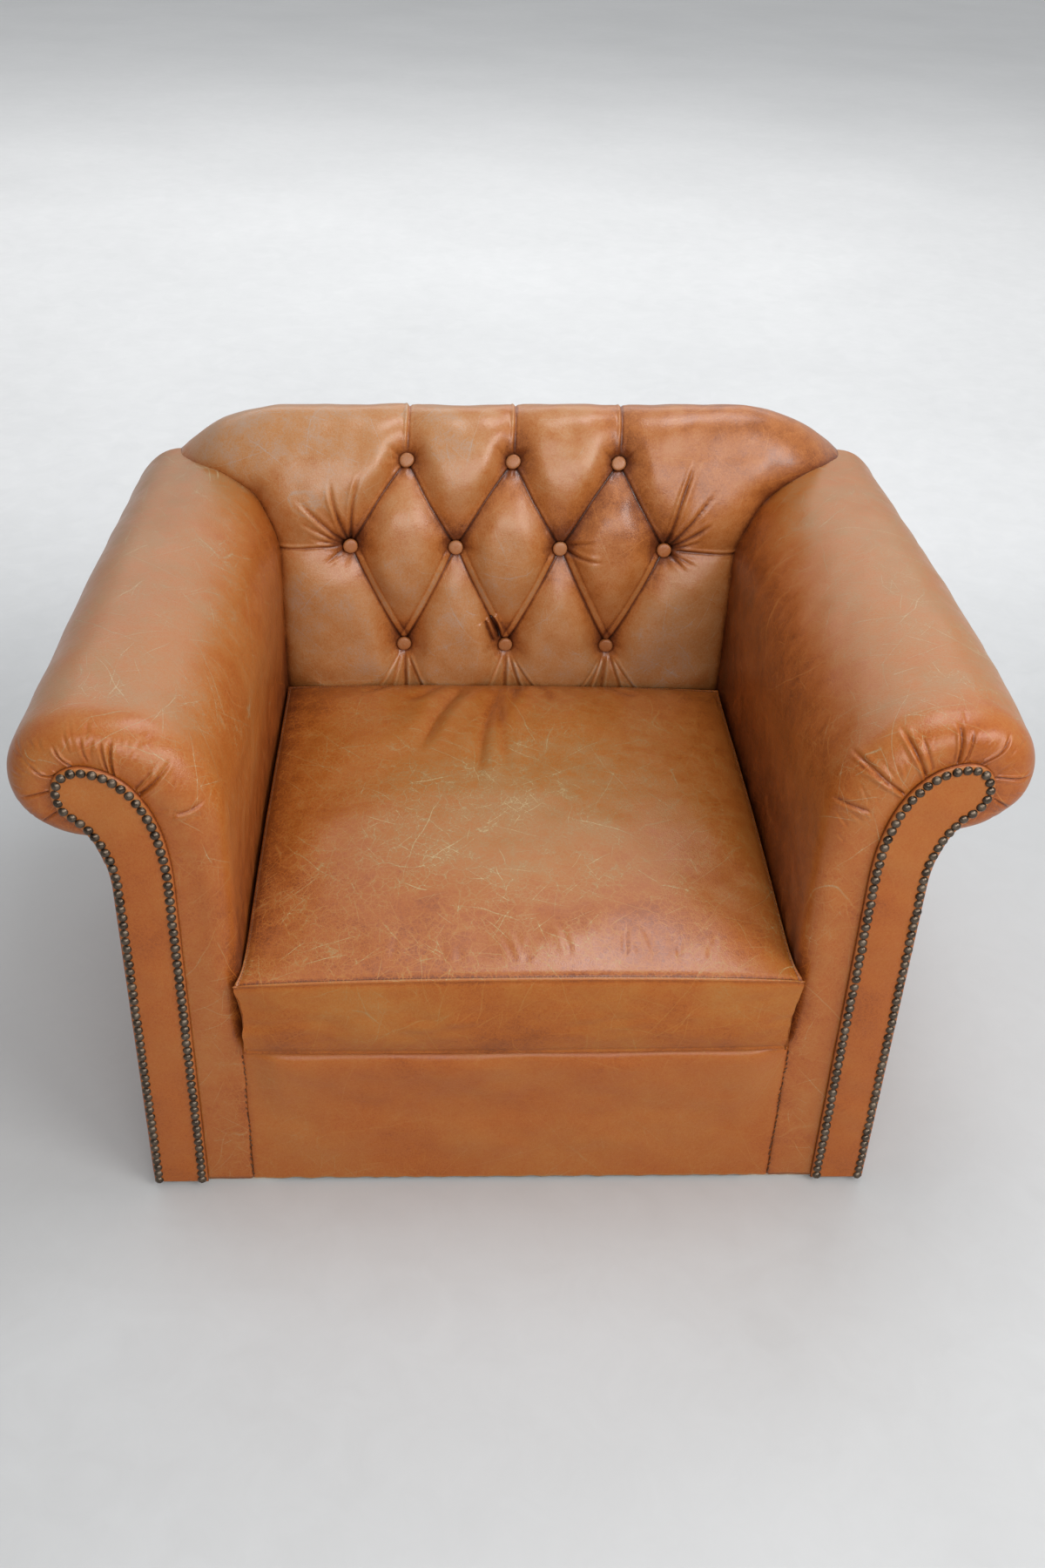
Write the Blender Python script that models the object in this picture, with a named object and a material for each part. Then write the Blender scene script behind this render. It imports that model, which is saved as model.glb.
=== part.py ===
"""Leather club armchair: wood frame, sprung seat deck, foam pads, leather covers, loose seat cushion.

Drawn in millimetres from the front face of the arm facings (y runs back, z up from the floor, x = 0 on the
centre plane), then set in metres with the middle of the bounding box's base at the origin. Left and right are
the viewer's, facing the chair.
"""

import math

import bmesh
import bpy
from mathutils import Matrix, Vector

for old in list(bpy.data.objects):
    bpy.data.objects.remove(old, do_unlink=True)

# ---- driving dimensions, mm ----
MM = 0.001
GAP = 0.4
DEPTH_FRONT, DEPTH_REAR = -8.0, 803.0
Y_MID = (DEPTH_FRONT + DEPTH_REAR) / 2
FOOT_H, FOOT_W, FOOT_D = 10.0, 130.0, 70.0
FOOT_X0, FOOT_FRONT_Y, FOOT_REAR_Y = 290.0, 9.0, 715.0
BASE = 12.0
LEATHER = 2.0
ARM_INNER, ARM_OUTER = 322.0, 446.0
ARM_TOP, ARM_BEND = 671.0, 530.0
ROLL_X, ROLL_Z, ROLL_RX, ROLL_RZ_UP, ROLL_RZ_DOWN = 470.0, 594.0, 75.0, 77.0, 63.0
ARM_PAD = 25.6
FACING_Y0, FACING_Y1, FACING_LIP = -0.8, 4.6, 6.5
NAIL_W, NAIL_H = 10.6, 3.4
BOARD_Y0, BOARD_Y1 = 12.0, 37.0
BACK_Y, BACK_TOP, BACK_REAR, BACK_APEX = 647.0, 731.0, 800.0, 750.0
BACK_ZONE = 397.5
POST_X0, POST_X1, POST_Y0, POST_Y1, POST_TOP = 400.0, 439.4, 745.0, 793.0, 596.0
RAIL_X0, RAIL_X1, RAIL_TOP = 405.0, 432.0, 200.0
SEAT_HALF = 321.0
DECK_Z = 224.4
CUSHION_HALF, CUSHION_BOTTOM, CUSHION_SEAM, CUSHION_CROWN = 317.0, 227.2, 331.0, 16.0
CUSHION_FRONT, CUSHION_REAR = -8.0, 640.0
BUTTON_PITCH, BUTTON_R, BUTTON_H, POCKET_R, POCKET_DEEP = 148.5, 10.0, 7.0, 11.5, 21.0
BUTTON_ROWS = ((683.0, 3), (561.0, 4), (405.0, 3))
SPRINGS, SPRING_WIRE, SPRING_SWING, SPRING_WAVES = (-240.0, -80.0, 80.0, 240.0), 2.0, 25.0, 14

# ---- materials ----
COLOURS = {
    "leather": ((0.38, 0.15, 0.05, 1), 0.45, 0.0),
    "nail_bronze": ((0.12, 0.08, 0.05, 1), 0.35, 1.0),
    "button_leather": ((0.33, 0.13, 0.045, 1), 0.45, 0.0),
    "beech": ((0.62, 0.44, 0.26, 1), 0.55, 0.0),
    "foot_wood": ((0.66, 0.55, 0.42, 1), 0.6, 0.0),
    "spring_steel": ((0.35, 0.35, 0.36, 1), 0.4, 1.0),
    "foam": ((0.86, 0.80, 0.62, 1), 0.9, 0.0),
    "deck_cloth": ((0.10, 0.08, 0.07, 1), 0.9, 0.0),
    "webbing": ((0.42, 0.33, 0.20, 1), 0.9, 0.0),
    "zip_brass": ((0.50, 0.36, 0.14, 1), 0.35, 1.0),
    "zip_tape": ((0.22, 0.12, 0.06, 1), 0.85, 0.0),
}
MATERIALS = {}
for key, (colour, rough, metal) in COLOURS.items():
    mat = bpy.data.materials.new(key)
    mat.use_nodes = True
    shader = mat.node_tree.nodes["Principled BSDF"]
    shader.inputs["Base Color"].default_value = colour
    shader.inputs["Roughness"].default_value = rough
    shader.inputs["Metallic"].default_value = metal
    mat.diffuse_color = colour
    MATERIALS[key] = mat


# ---- outlines ----
def bezier(p0, p1, p2, p3, steps):
    """Points after p0 up to p3."""
    points = []
    for i in range(1, steps + 1):
        t = i / steps
        s = 1 - t
        points.append(
            tuple(
                s**3 * a + 3 * s * s * t * b + 3 * s * t * t * c + t**3 * d
                for a, b, c, d in zip(p0, p1, p2, p3)
            )
        )
    return points


def arc(cx, cz, rx, rz, a0, a1, steps):
    """Points after angle a0 up to a1 on an ellipse, in degrees."""
    return [
        (
            cx + rx * math.cos(math.radians(a0 + (a1 - a0) * i / steps)),
            cz + rz * math.sin(math.radians(a0 + (a1 - a0) * i / steps)),
        )
        for i in range(1, steps + 1)
    ]


def offset(points, d, closed=False):
    """The line moved d to its right hand side, mitred at each point."""
    n = len(points)
    moved = []
    for i, (px, pz) in enumerate(points):
        a = points[i - 1] if closed or i > 0 else None
        b = points[(i + 1) % n] if closed or i < n - 1 else None
        sides = []
        for p, q in ((a, (px, pz)), ((px, pz), b)):
            if p is None or q is None:
                continue
            dx, dz = q[0] - p[0], q[1] - p[1]
            length = math.hypot(dx, dz)
            sides.append((dz / length, -dx / length))
        mx = sum(s[0] for s in sides) / len(sides)
        mz = sum(s[1] for s in sides) / len(sides)
        scale = d / (mx * mx + mz * mz)
        moved.append((px + mx * scale, pz + mz * scale))
    return moved


def arm_line(bottom, d=0.0):
    """Right arm: up the inside, over the roll and back under it, moved d into the arm."""
    start = (ARM_INNER, ARM_BEND)
    top = (ROLL_X, ARM_TOP)
    line = [(ARM_INNER, bottom), start]
    line += bezier(start, (ARM_INNER, 600.0), (368.0, ARM_TOP), top, 9)
    line += arc(ROLL_X, ROLL_Z, ROLL_RX, ROLL_RZ_UP, 90, 0, 6)
    line += arc(ROLL_X, ROLL_Z, ROLL_RX, ROLL_RZ_DOWN, 0, -90, 5)
    return offset(line, d) if d else line


def nail_line():
    """Right facing: the line of the nail heads, from the inner bottom round the scroll to the outer bottom."""
    p0, p1, p2, p3 = (385.5, 470.0), (462.0, 616.5), (474.0, 560.0), (439.0, 470.0)
    line = [(385.5, 16.0), p0]
    line += bezier(p0, (385.5, 560.0), (415.0, 612.0), p1, 8)
    line += bezier(p1, (492.0, 618.0), (500.0, 580.0), p2, 8)
    line += bezier(p2, (456.0, 546.0), (440.0, 515.0), p3, 6)
    line += [(438.0, 16.0)]
    return line


def back_line(bottom, d=0.0, end=600.0):
    """Inside back in (y, z): up the front face, over the top and down behind, moved d into the back."""
    start = (BACK_Y, 500.0)
    top = (BACK_APEX, BACK_TOP)
    line = [(BACK_Y + 4.0, bottom), (BACK_Y + 1.0, 360.0), start]
    line += bezier(start, (BACK_Y, 590.0), (686.0, BACK_TOP), top, 9)
    line += arc(BACK_APEX, 681.0, BACK_REAR - BACK_APEX, BACK_TOP - 681.0, 90, 0, 6)
    line += [(BACK_REAR, end)]
    return offset(line, d) if d else line


def shoulder_line(d=0.0):
    """Right shoulder of the back in (x, z), from the arm roll up to the flat top, moved d into the back."""
    line = [(472.0, 671.5)]
    line += bezier((472.0, 671.5), (446.0, 701.0), (400.0, BACK_TOP), (330.0, BACK_TOP), 8)
    return offset(line, -d) if d else line


def arm_top_right(x_from, x_to, lift):
    """Points of the arm's top line between two x, lifted."""
    return [(x, z + lift) for x, z in arm_line(11.0) if x_from < x < x_to and z > ARM_BEND and z > ROLL_Z]


def mirrored(points):
    return [(-a, b) for a, b in reversed(points)]


def flip(points, side):
    return points if side > 0 else mirrored(points)


# ---- solids ----
PARENTS = {}


def prism(points, axis, t0, t1):
    """Mesh object from an outline pushed along an axis; points are (x, z) for y, (y, z) for x, (x, y) for z."""
    place = {
        "y": lambda a, b, t: (a, t, b),
        "x": lambda a, b, t: (t, a, b),
        "z": lambda a, b, t: (a, b, t),
    }[axis]
    bm = bmesh.new()
    face = bm.faces.new([bm.verts.new(place(a, b, t0)) for a, b in points])
    made = bmesh.ops.extrude_face_region(bm, geom=[face])
    push = Vector(place(0, 0, t1 - t0))
    bmesh.ops.translate(bm, vec=push, verts=[g for g in made["geom"] if isinstance(g, bmesh.types.BMVert)])
    bmesh.ops.recalc_face_normals(bm, faces=bm.faces)
    return from_bmesh(bm)


def from_bmesh(bm):
    mesh = bpy.data.meshes.new("shape")
    bm.to_mesh(mesh)
    bm.free()
    obj = bpy.data.objects.new("shape", mesh)
    bpy.context.scene.collection.objects.link(obj)
    return obj


def block(x0, x1, y0, y1, z0, z1):
    return prism([(x0, y0), (x1, y0), (x1, y1), (x0, y1)], "z", z0, z1)


def boolean(obj, other, operation):
    """The result replaces obj's mesh, and other is removed."""
    step = obj.modifiers.new("step", "BOOLEAN")
    step.operation, step.solver, step.object = operation, "EXACT", other
    graph = bpy.context.evaluated_depsgraph_get()
    made = bpy.data.meshes.new_from_object(obj.evaluated_get(graph))
    obj.modifiers.clear()
    obj.data = made
    bpy.data.objects.remove(other, do_unlink=True)
    return obj


def cut(obj, *others):
    for other in others:
        boolean(obj, other, "DIFFERENCE")
    return obj


def join(obj, *others):
    for other in others:
        boolean(obj, other, "UNION")
    return obj


def common(obj, other):
    return boolean(obj, other, "INTERSECT")


def empty(name, x, y, z, parent=None):
    made = bpy.data.objects.new(name, None)
    bpy.context.scene.collection.objects.link(made)
    at = Vector((x, y - Y_MID, z)) * MM
    made.location = at - (PARENTS[parent][1] if parent else Vector())
    if parent:
        made.parent = PARENTS[parent][0]
    PARENTS[name] = (made, at)


def keep(obj, name, material, parent="chair_body", smooth=30.0):
    """Names the piece, sets it in metres about its own middle and gives it its material."""
    mesh = obj.data
    mesh.transform(Matrix.Scale(MM, 4) @ Matrix.Translation((0, -Y_MID, 0)))
    low = [min(v.co[i] for v in mesh.vertices) for i in range(3)]
    high = [max(v.co[i] for v in mesh.vertices) for i in range(3)]
    middle = Vector([(a + b) / 2 for a, b in zip(low, high)])
    mesh.transform(Matrix.Translation(-middle))
    mesh.materials.clear()
    mesh.materials.append(MATERIALS[material])
    mesh.shade_smooth()
    mesh.set_sharp_from_angle(angle=math.radians(smooth))
    mesh.name = name
    obj.name = name
    obj.parent = PARENTS[parent][0]
    obj.location = middle - PARENTS[parent][1]
    return obj


empty("chair_body", 0, Y_MID, 0)
empty("cushion_body", 0, (CUSHION_FRONT + CUSHION_REAR) / 2, CUSHION_BOTTOM, "chair_body")
empty("zip_slider_body", -240.0, CUSHION_REAR, 280.0, "cushion_body")

# ---- wood frame: rails tenoned into arm boards, posts and side rails ----
TENON = 19.0


def tenoned(obj, *tongues):
    return join(obj, *[block(*t) for t in tongues])


def mortised(obj, *holes):
    g = GAP
    return cut(obj, *[block(a - g, b + g, c - g, d + g, e - g, f + g) for a, b, c, d, e, f in holes])


def sided(box, side):
    a, b, c, d, e, f = box
    return box if side > 0 else (-b, -a, c, d, e, f)


BOARD_X0 = ARM_INNER + ARM_PAD + 1.0
FRONT_TONGUE = (BOARD_X0 - 5.0, BOARD_X0 + TENON, 17.0, 32.0, 40.0, 160.0)
SIDE_FRONT_TONGUE = (411.0, 426.0, 37.0 - 15.0, 42.0, 40.0, 160.0)
SIDE_REAR_TONGUE = (411.0, 426.0, POST_Y0 - 5.0, POST_Y0 + 17.0, 40.0, 160.0)
REAR_TONGUE = (400.0, RAIL_X0 + 15.0, 706.0, 719.0, 90.0, 170.0)
BASE_TONGUE = (395.0, POST_X0 + TENON, 773.0, 784.0, 26.0, 76.0)
TACK_TONGUE = (395.0, POST_X0 + TENON, 752.0, 765.0, 245.0, 275.0)
CREST_TONGUE = (390.0, POST_X0 + TENON, 752.0, 765.0, 525.0, 575.0)
ARM_FRONT_TONGUE = (425.0, 437.0, 22.0, 42.0, 566.0, 584.0)
ARM_REAR_TONGUE = (425.0, 436.0, POST_Y0 - 5.0, POST_Y0 + 17.0, 566.0, 584.0)

half = BOARD_X0 - GAP - 0.2
front = tenoned(block(-half, half, BOARD_Y0, BOARD_Y1, BASE, RAIL_TOP), FRONT_TONGUE, sided(FRONT_TONGUE, -1))
front = cut(front, *[block(x - 3.4, x + 3.4, BOARD_Y0 - 5, BOARD_Y1 + 5, RAIL_TOP - 6.4, RAIL_TOP + 5) for x in SPRINGS])
keep(front, "front_seat_rail", "beech")
half = RAIL_X0 - GAP
rear = tenoned(block(-half, half, 700.0, 725.0, 60.0, RAIL_TOP), REAR_TONGUE, sided(REAR_TONGUE, -1))
rear = cut(rear, *[block(x - 3.4, x + 3.4, 695.0, 730.0, RAIL_TOP - 6.4, RAIL_TOP + 5) for x in SPRINGS])
keep(rear, "rear_seat_rail", "beech")
half = POST_X0 - GAP
keep(tenoned(block(-half, half, 767.0, 790.0, BASE, 90.0), BASE_TONGUE, sided(BASE_TONGUE, -1)), "back_base_rail", "beech")
keep(tenoned(block(-half, half, 746.0, 771.0, 235.0, 285.0), TACK_TONGUE, sided(TACK_TONGUE, -1)), "back_tack_rail", "beech")
crest = prism([(-396, 500), (396, 500), (396, 672), (372, 690), (338, 699), (-338, 699), (-372, 690), (-396, 672)], "y", 746.0, 771.0)
keep(tenoned(crest, CREST_TONGUE, sided(CREST_TONGUE, -1)), "back_crest_board", "beech")

for side, word in ((-1, "left"), (1, "right")):
    line = arm_line(BASE, ARM_PAD + 1.0)
    board = line + [(POST_X1, line[-1][1]), (POST_X1, BASE)]
    board = prism(flip(board, side), "y", BOARD_Y0, BOARD_Y1)
    board = mortised(board, sided(FRONT_TONGUE, side), sided(SIDE_FRONT_TONGUE, side), sided(ARM_FRONT_TONGUE, side))
    keep(board, word + "_arm_board", "beech")
    post = block(*sided((POST_X0, POST_X1, POST_Y0, POST_Y1, BASE, POST_TOP), side))
    holes = (SIDE_REAR_TONGUE, BASE_TONGUE, TACK_TONGUE, CREST_TONGUE, ARM_REAR_TONGUE)
    keep(mortised(post, *[sided(h, side) for h in holes]), word + "_back_post", "beech")
    rail = block(*sided((RAIL_X0, RAIL_X1, BOARD_Y1 + GAP, POST_Y0 - GAP, BASE, RAIL_TOP), side))
    rail = tenoned(rail, sided(SIDE_FRONT_TONGUE, side), sided(SIDE_REAR_TONGUE, side))
    keep(mortised(rail, sided(REAR_TONGUE, side)), word + "_seat_rail", "beech")
    rail = block(*sided((420.0, 488.0, BOARD_Y1 + GAP, POST_Y0 - GAP, 562.0, 588.0), side))
    keep(tenoned(rail, sided(ARM_FRONT_TONGUE, side), sided(ARM_REAR_TONGUE, side)), word + "_arm_rail", "beech")
    for place, y0, y1 in (("front", BOARD_Y1 + GAP, BOARD_Y1 + GAP + 60.0), ("rear", 700.0 - GAP, 640.0 - GAP)):
        x0 = RAIL_X0 - GAP
        corner = [(x0, y0), (x0, y1), (x0 - 60.0, y0)]
        keep(prism(flip(corner, side), "z", 62.0, 110.0), word + "_" + place + "_corner_block", "beech")
    for place, y0 in (("front", FOOT_FRONT_Y), ("rear", FOOT_REAR_Y)):
        foot = block(*sided((FOOT_X0, FOOT_X0 + FOOT_W, y0, y0 + FOOT_D, 0.0, FOOT_H), side))
        keep(foot, word + "_" + place + "_foot", "foot_wood")

# ---- sprung seat deck ----
for number, x in enumerate(SPRINGS, 1):
    curve = bpy.data.curves.new("spring", "CURVE")
    curve.dimensions = "3D"
    curve.bevel_depth = SPRING_WIRE * MM
    curve.bevel_resolution = 0
    curve.use_fill_caps = True
    y0, y1, z0 = 48.0, 690.0, RAIL_TOP - 3.2
    path = [(x, 16.0, z0), (x, 42.0, z0)]
    count = SPRING_WAVES * 4
    for i in range(1, count):
        t = i / count
        path.append((x + SPRING_SWING * math.sin(math.pi * SPRING_WAVES * t), y0 + (y1 - y0) * t, z0 + 6.0 * math.sin(math.pi * t)))
    path += [(x, 696.0, z0), (x, 721.0, z0)]
    spline = curve.splines.new("POLY")
    spline.points.add(len(path) - 1)
    for point, (px, py, pz) in zip(spline.points, path):
        point.co = ((px - x) * MM, (py - Y_MID) * MM, (pz - z0) * MM, 1)
    name = "seat_spring_%d" % number
    curve.materials.append(MATERIALS["spring_steel"])
    spring = bpy.data.objects.new(name, curve)
    bpy.context.scene.collection.objects.link(spring)
    spring.parent = PARENTS["chair_body"][0]
    spring.location = Vector((x, 0, z0)) * MM
keep(block(-318, 318, 14.0, 35.0, RAIL_TOP + GAP, RAIL_TOP + 8.4), "front_spring_batten", "beech")
keep(block(-318, 318, 702.0, 723.0, RAIL_TOP + GAP, RAIL_TOP + 8.4), "rear_spring_batten", "beech")
keep(block(-SEAT_HALF + 1, SEAT_HALF - 1, BOARD_Y0, 643.0, RAIL_TOP + 9.0, DECK_Z - GAP - 0.2), "deck_pad", "foam")
keep(block(-SEAT_HALF + 1, SEAT_HALF - 1, 70.6, 646.0, DECK_Z, DECK_Z + 1.8), "deck_cover", "deck_cloth")
keep(block(-SEAT_HALF + 1, SEAT_HALF - 1, 7.5, BOARD_Y0 - 0.5, BASE, DECK_Z - GAP - 0.2), "front_rail_pad", "foam")
lip = [(5.0, 11.0), (7.0, 11.0), (7.0, DECK_Z), (70.0, DECK_Z), (70.0, DECK_Z + 2.0), (5.0, DECK_Z + 2.0)]
keep(prism(lip, "x", -SEAT_HALF, SEAT_HALF), "front_rail_cover", "leather")
keep(block(-440.0, 440.0, 8.0, 795.0, FOOT_H + 0.2, FOOT_H + 0.7), "dust_cover", "deck_cloth")

# ---- arms: pad, leather cover, facing board with nail trim, outside panel ----
for side, word in ((-1, "left"), (1, "right")):

    def back_room():
        """The space the inside back takes between the arms."""
        line = [(y - 0.6, z) for y, z in back_line(100.0) if y <= BACK_APEX]
        return prism(line + [(900.0, BACK_TOP), (900.0, 100.0)], "x", -BACK_ZONE, BACK_ZONE)

    outer, inner = arm_line(150.0, LEATHER + 0.6), arm_line(150.0, ARM_PAD)
    pad = outer + [(450.0, outer[-1][1]), (450.0, inner[-1][1])] + inner[::-1]
    pad = cut(
        prism(flip(pad, side), "y", 7.6, BACK_REAR - 0.6),
        back_room(),
        block(*sided((310.0, BOARD_X0, 0.0, BOARD_Y1 + 1.0, 100.0, RAIL_TOP + 1.0), side)),
    )
    keep(pad, word + "_arm_pad", "foam")
    skin = arm_line(11.0) + [(ARM_OUTER, ROLL_Z - ROLL_RZ_DOWN), (ARM_OUTER, 11.0)]
    hollow = arm_line(-20.0, LEATHER)
    under = hollow[-1][1]
    hollow += [(443.0, under), (443.0, 520.0), (460.0, 520.0), (460.0, -20.0)]
    cover = cut(
        prism(flip(skin, side), "y", 5.0, BACK_REAR),
        prism(flip(hollow, side), "y", 7.0, 900.0),
        back_room(),
        block(*sided((300.0, 340.0, 7.3, 900.0, -10.0, 140.0), side)),
        block(*sided((300.0, 340.0, 7.3, BOARD_Y1 + 2.0, 130.0, RAIL_TOP + 1.0), side)),
    )
    keep(cover, word + "_arm_cover", "leather")
    line = offset(nail_line(), -FACING_LIP)
    line = [(line[0][0], 11.0)] + line[1:-1] + [(line[-1][0], 11.0)]
    keep(prism(flip(line, side), "y", FACING_Y0, FACING_Y1), word + "_arm_facing", "leather")
    keep(block(*sided((ARM_OUTER + 0.6, ARM_OUTER + 2.6, 5.0, BACK_REAR, 11.0, ROLL_Z - ROLL_RZ_DOWN - 0.6), side)), word + "_outside_arm_panel", "leather")
    bm = bmesh.new()
    path = nail_line()
    path = [(path[0][0], 12.0)] + path[1:-1] + [(path[-1][0], 12.0)]
    rings = []
    base = FACING_Y0 - GAP
    for share, depth in ((-0.5, 0.0), (-0.36, 0.62), (0.0, 1.0), (0.36, 0.62), (0.5, 0.0)):
        rings.append([(x * side, base - depth * NAIL_H, z) for x, z in offset(path, share * NAIL_W)])
    grid = [[bm.verts.new(p) for p in ring] for ring in rings]
    for i in range(len(path) - 1):
        for j in range(5):
            a, b = grid[j], grid[(j + 1) % 5]
            bm.faces.new((a[i], a[i + 1], b[i + 1], b[i]))
    for i in (0, -1):
        bm.faces.new([ring[i] for ring in grid])
    bmesh.ops.recalc_face_normals(bm, faces=bm.faces)
    keep(from_bmesh(bm), word + "_nail_trim", "nail_bronze", smooth=50.0)

# ---- back: webbing, pad, tufted cover with buttons in pockets, outside panel ----
web = [block(x - 25.0, x + 25.0, 743.4, 745.6, 240.0, 560.0) for x in (-240.0, -80.0, 80.0, 240.0)]
web += [block(-380.0, 380.0, 743.5, 745.5, z - 25.0, z + 25.0) for z in (340.0, 450.0)]
keep(join(*web), "back_webbing", "webbing")


def back_outline(d, bottom, half_low, lift):
    """Front view of the back, between the arms and out over them to the shoulders."""
    right = [(half_low, bottom), (half_low, arm_top_z(half_low) + lift)]
    right += [(x, z + lift) for x, z in arm_top_right(half_low + 2.0, 469.0, 0.0)]
    right += [(x, z) for x, z in shoulder_line(d) if z > ARM_TOP + 0.45 * lift]
    return right + mirrored(right)


def arm_top_z(x):
    line = arm_line(11.0)
    for (xa, za), (xb, zb) in zip(line, line[1:]):
        if xa <= x < xb:
            return za + (zb - za) * (x - xa) / (xb - xa)


def button_places():
    """Each button's middle on the back's face and the direction it faces."""
    line = back_line(228.0)
    places = []
    for z, count in BUTTON_ROWS:
        for (ya, za), (yb, zb) in zip(line, line[1:]):
            if za <= z < zb:
                y = ya + (yb - ya) * (z - za) / (zb - za)
                out = Vector((0, -(zb - za), yb - ya)).normalized()
                break
        for i in range(count):
            places.append((Vector(((i - (count - 1) / 2) * BUTTON_PITCH, y, z)), out))
    return places


def lathe(profile, at, out, sides=12):
    """Solid of revolution about out: (distance along out, radius) from one end on the axis to the other."""
    bm = bmesh.new()
    turn = Vector((0, 0, 1)).rotation_difference(out).to_matrix()
    rings = []
    for along, radius in profile:
        if radius == 0:
            rings.append([bm.verts.new(at + turn @ Vector((0, 0, along)))])
            continue
        rings.append(
            [
                bm.verts.new(at + turn @ Vector((radius * math.cos(2 * math.pi * k / sides), radius * math.sin(2 * math.pi * k / sides), along)))
                for k in range(sides)
            ]
        )
    for low, high in zip(rings, rings[1:]):
        for k in range(sides):
            n = (k + 1) % sides
            if len(low) == 1:
                bm.faces.new((low[0], high[k], high[n]))
            elif len(high) == 1:
                bm.faces.new((low[k], low[n], high[0]))
            else:
                bm.faces.new((low[k], low[n], high[n], high[k]))
    bmesh.ops.recalc_face_normals(bm, faces=bm.faces)
    return from_bmesh(bm)


def pockets():
    return [lathe(((-POCKET_DEEP, 0), (-POCKET_DEEP, POCKET_R), (40.0, POCKET_R), (40.0, 0)), at, out, 10) for at, out in button_places()]


line = back_line(230.0, LEATHER + 0.6, 612.0)
rear_y = line[-1][0]
pad = line + [(772.0, 612.0), (772.0, 701.0), (742.6, 701.0), (742.6, 230.0)]
pad = common(prism(pad, "x", -500.0, 500.0), prism(back_outline(LEATHER + 0.6, 200.0, BACK_ZONE - 1.0, 1.0), "y", 600.0, 900.0))
keep(cut(pad, *pockets()), "back_pad", "foam")
skin = back_line(228.0) + [(BACK_REAR, 228.0)]
skin = common(prism(skin, "x", -500.0, 500.0), prism(back_outline(0.0, 200.0, BACK_ZONE - 0.6, 0.6), "y", 600.0, 900.0))
hollow = back_line(100.0, LEATHER, 606.0)
hollow += [(900.0, 606.0), (900.0, 100.0)]
room = shoulder_line(LEATHER)
room = [(480.0, 100.0), (480.0, room[0][1] - 20.0), (room[0][0], room[0][1] - 20.0)] + room
hollow = common(prism(hollow, "x", -600.0, 600.0), prism(room + mirrored(room), "y", 550.0, 950.0))
keep(cut(skin, hollow, *pockets()), "inside_back_cover", "leather")
for number, (at, out) in enumerate(button_places(), 1):
    deep = POCKET_DEEP - 1.0
    shape = ((0, 0), (0, BUTTON_R * 0.9), (1.5, BUTTON_R), (BUTTON_H * 0.6, BUTTON_R * 0.86), (BUTTON_H * 0.9, BUTTON_R * 0.5), (BUTTON_H, 0))
    keep(lathe(shape, at - out * deep, out), "back_button_%02d" % number, "button_leather", smooth=60.0)
panel = [(ARM_OUTER + 2.6, 11.0), (ARM_OUTER + 2.6, ROLL_Z - ROLL_RZ_DOWN)] + arc(ROLL_X, ROLL_Z, ROLL_RX, ROLL_RZ_DOWN, -90, 0, 5)
panel += arc(ROLL_X, ROLL_Z, ROLL_RX, ROLL_RZ_UP, 0, 84, 6) + shoulder_line()
keep(prism(panel + mirrored(panel), "y", BACK_REAR + 0.6, DEPTH_REAR), "outside_back_panel", "leather")

# ---- loose seat cushion: foam core in a zipped leather cover ----
line = [(CUSHION_FRONT + 4.0, CUSHION_BOTTOM), (CUSHION_FRONT, CUSHION_BOTTOM + 45.0), (CUSHION_FRONT + 3.0, CUSHION_SEAM)]
for i in range(1, 11):
    t = i / 10
    line.append((CUSHION_FRONT + 3.0 + (CUSHION_REAR - CUSHION_FRONT - 4.0) * t, CUSHION_SEAM + 12.0 * t + CUSHION_CROWN * math.sin(math.pi * t)))
line += [(CUSHION_REAR, CUSHION_BOTTOM + 60.0), (CUSHION_REAR, CUSHION_BOTTOM + 45.0), (CUSHION_REAR - 2.0, CUSHION_BOTTOM)]
inside, core = offset(line, 1.8, True), offset(line, 2.2, True)
skin = cut(
    prism(line, "x", -CUSHION_HALF, CUSHION_HALF),
    prism(inside, "x", -CUSHION_HALF + 1.8, CUSHION_HALF - 1.8),
    block(-250.0, 250.0, 630.0, 660.0, 276.0, 284.0),
)
keep(skin, "cushion_cover", "leather", "cushion_body")
keep(prism(core, "x", -CUSHION_HALF + 2.2, CUSHION_HALF - 2.2), "cushion_core", "foam", "cushion_body")
keep(block(-249.5, 249.5, CUSHION_REAR - 1.7, CUSHION_REAR + 0.4, 276.5, 283.5), "cushion_zip", "zip_tape", "cushion_body")
slider = join(block(-248.0, -236.0, CUSHION_REAR + 0.8, CUSHION_REAR + 4.0, 276.0, 284.0), block(-244.0, -240.0, CUSHION_REAR + 1.4, CUSHION_REAR + 3.2, 262.0, 279.0))
keep(slider, "zip_slider", "zip_brass", "zip_slider_body")
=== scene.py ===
import math

import bmesh
import bpy
import numpy as np
from mathutils import Matrix, Vector
from mathutils.geometry import delaunay_2d_cdt


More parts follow.
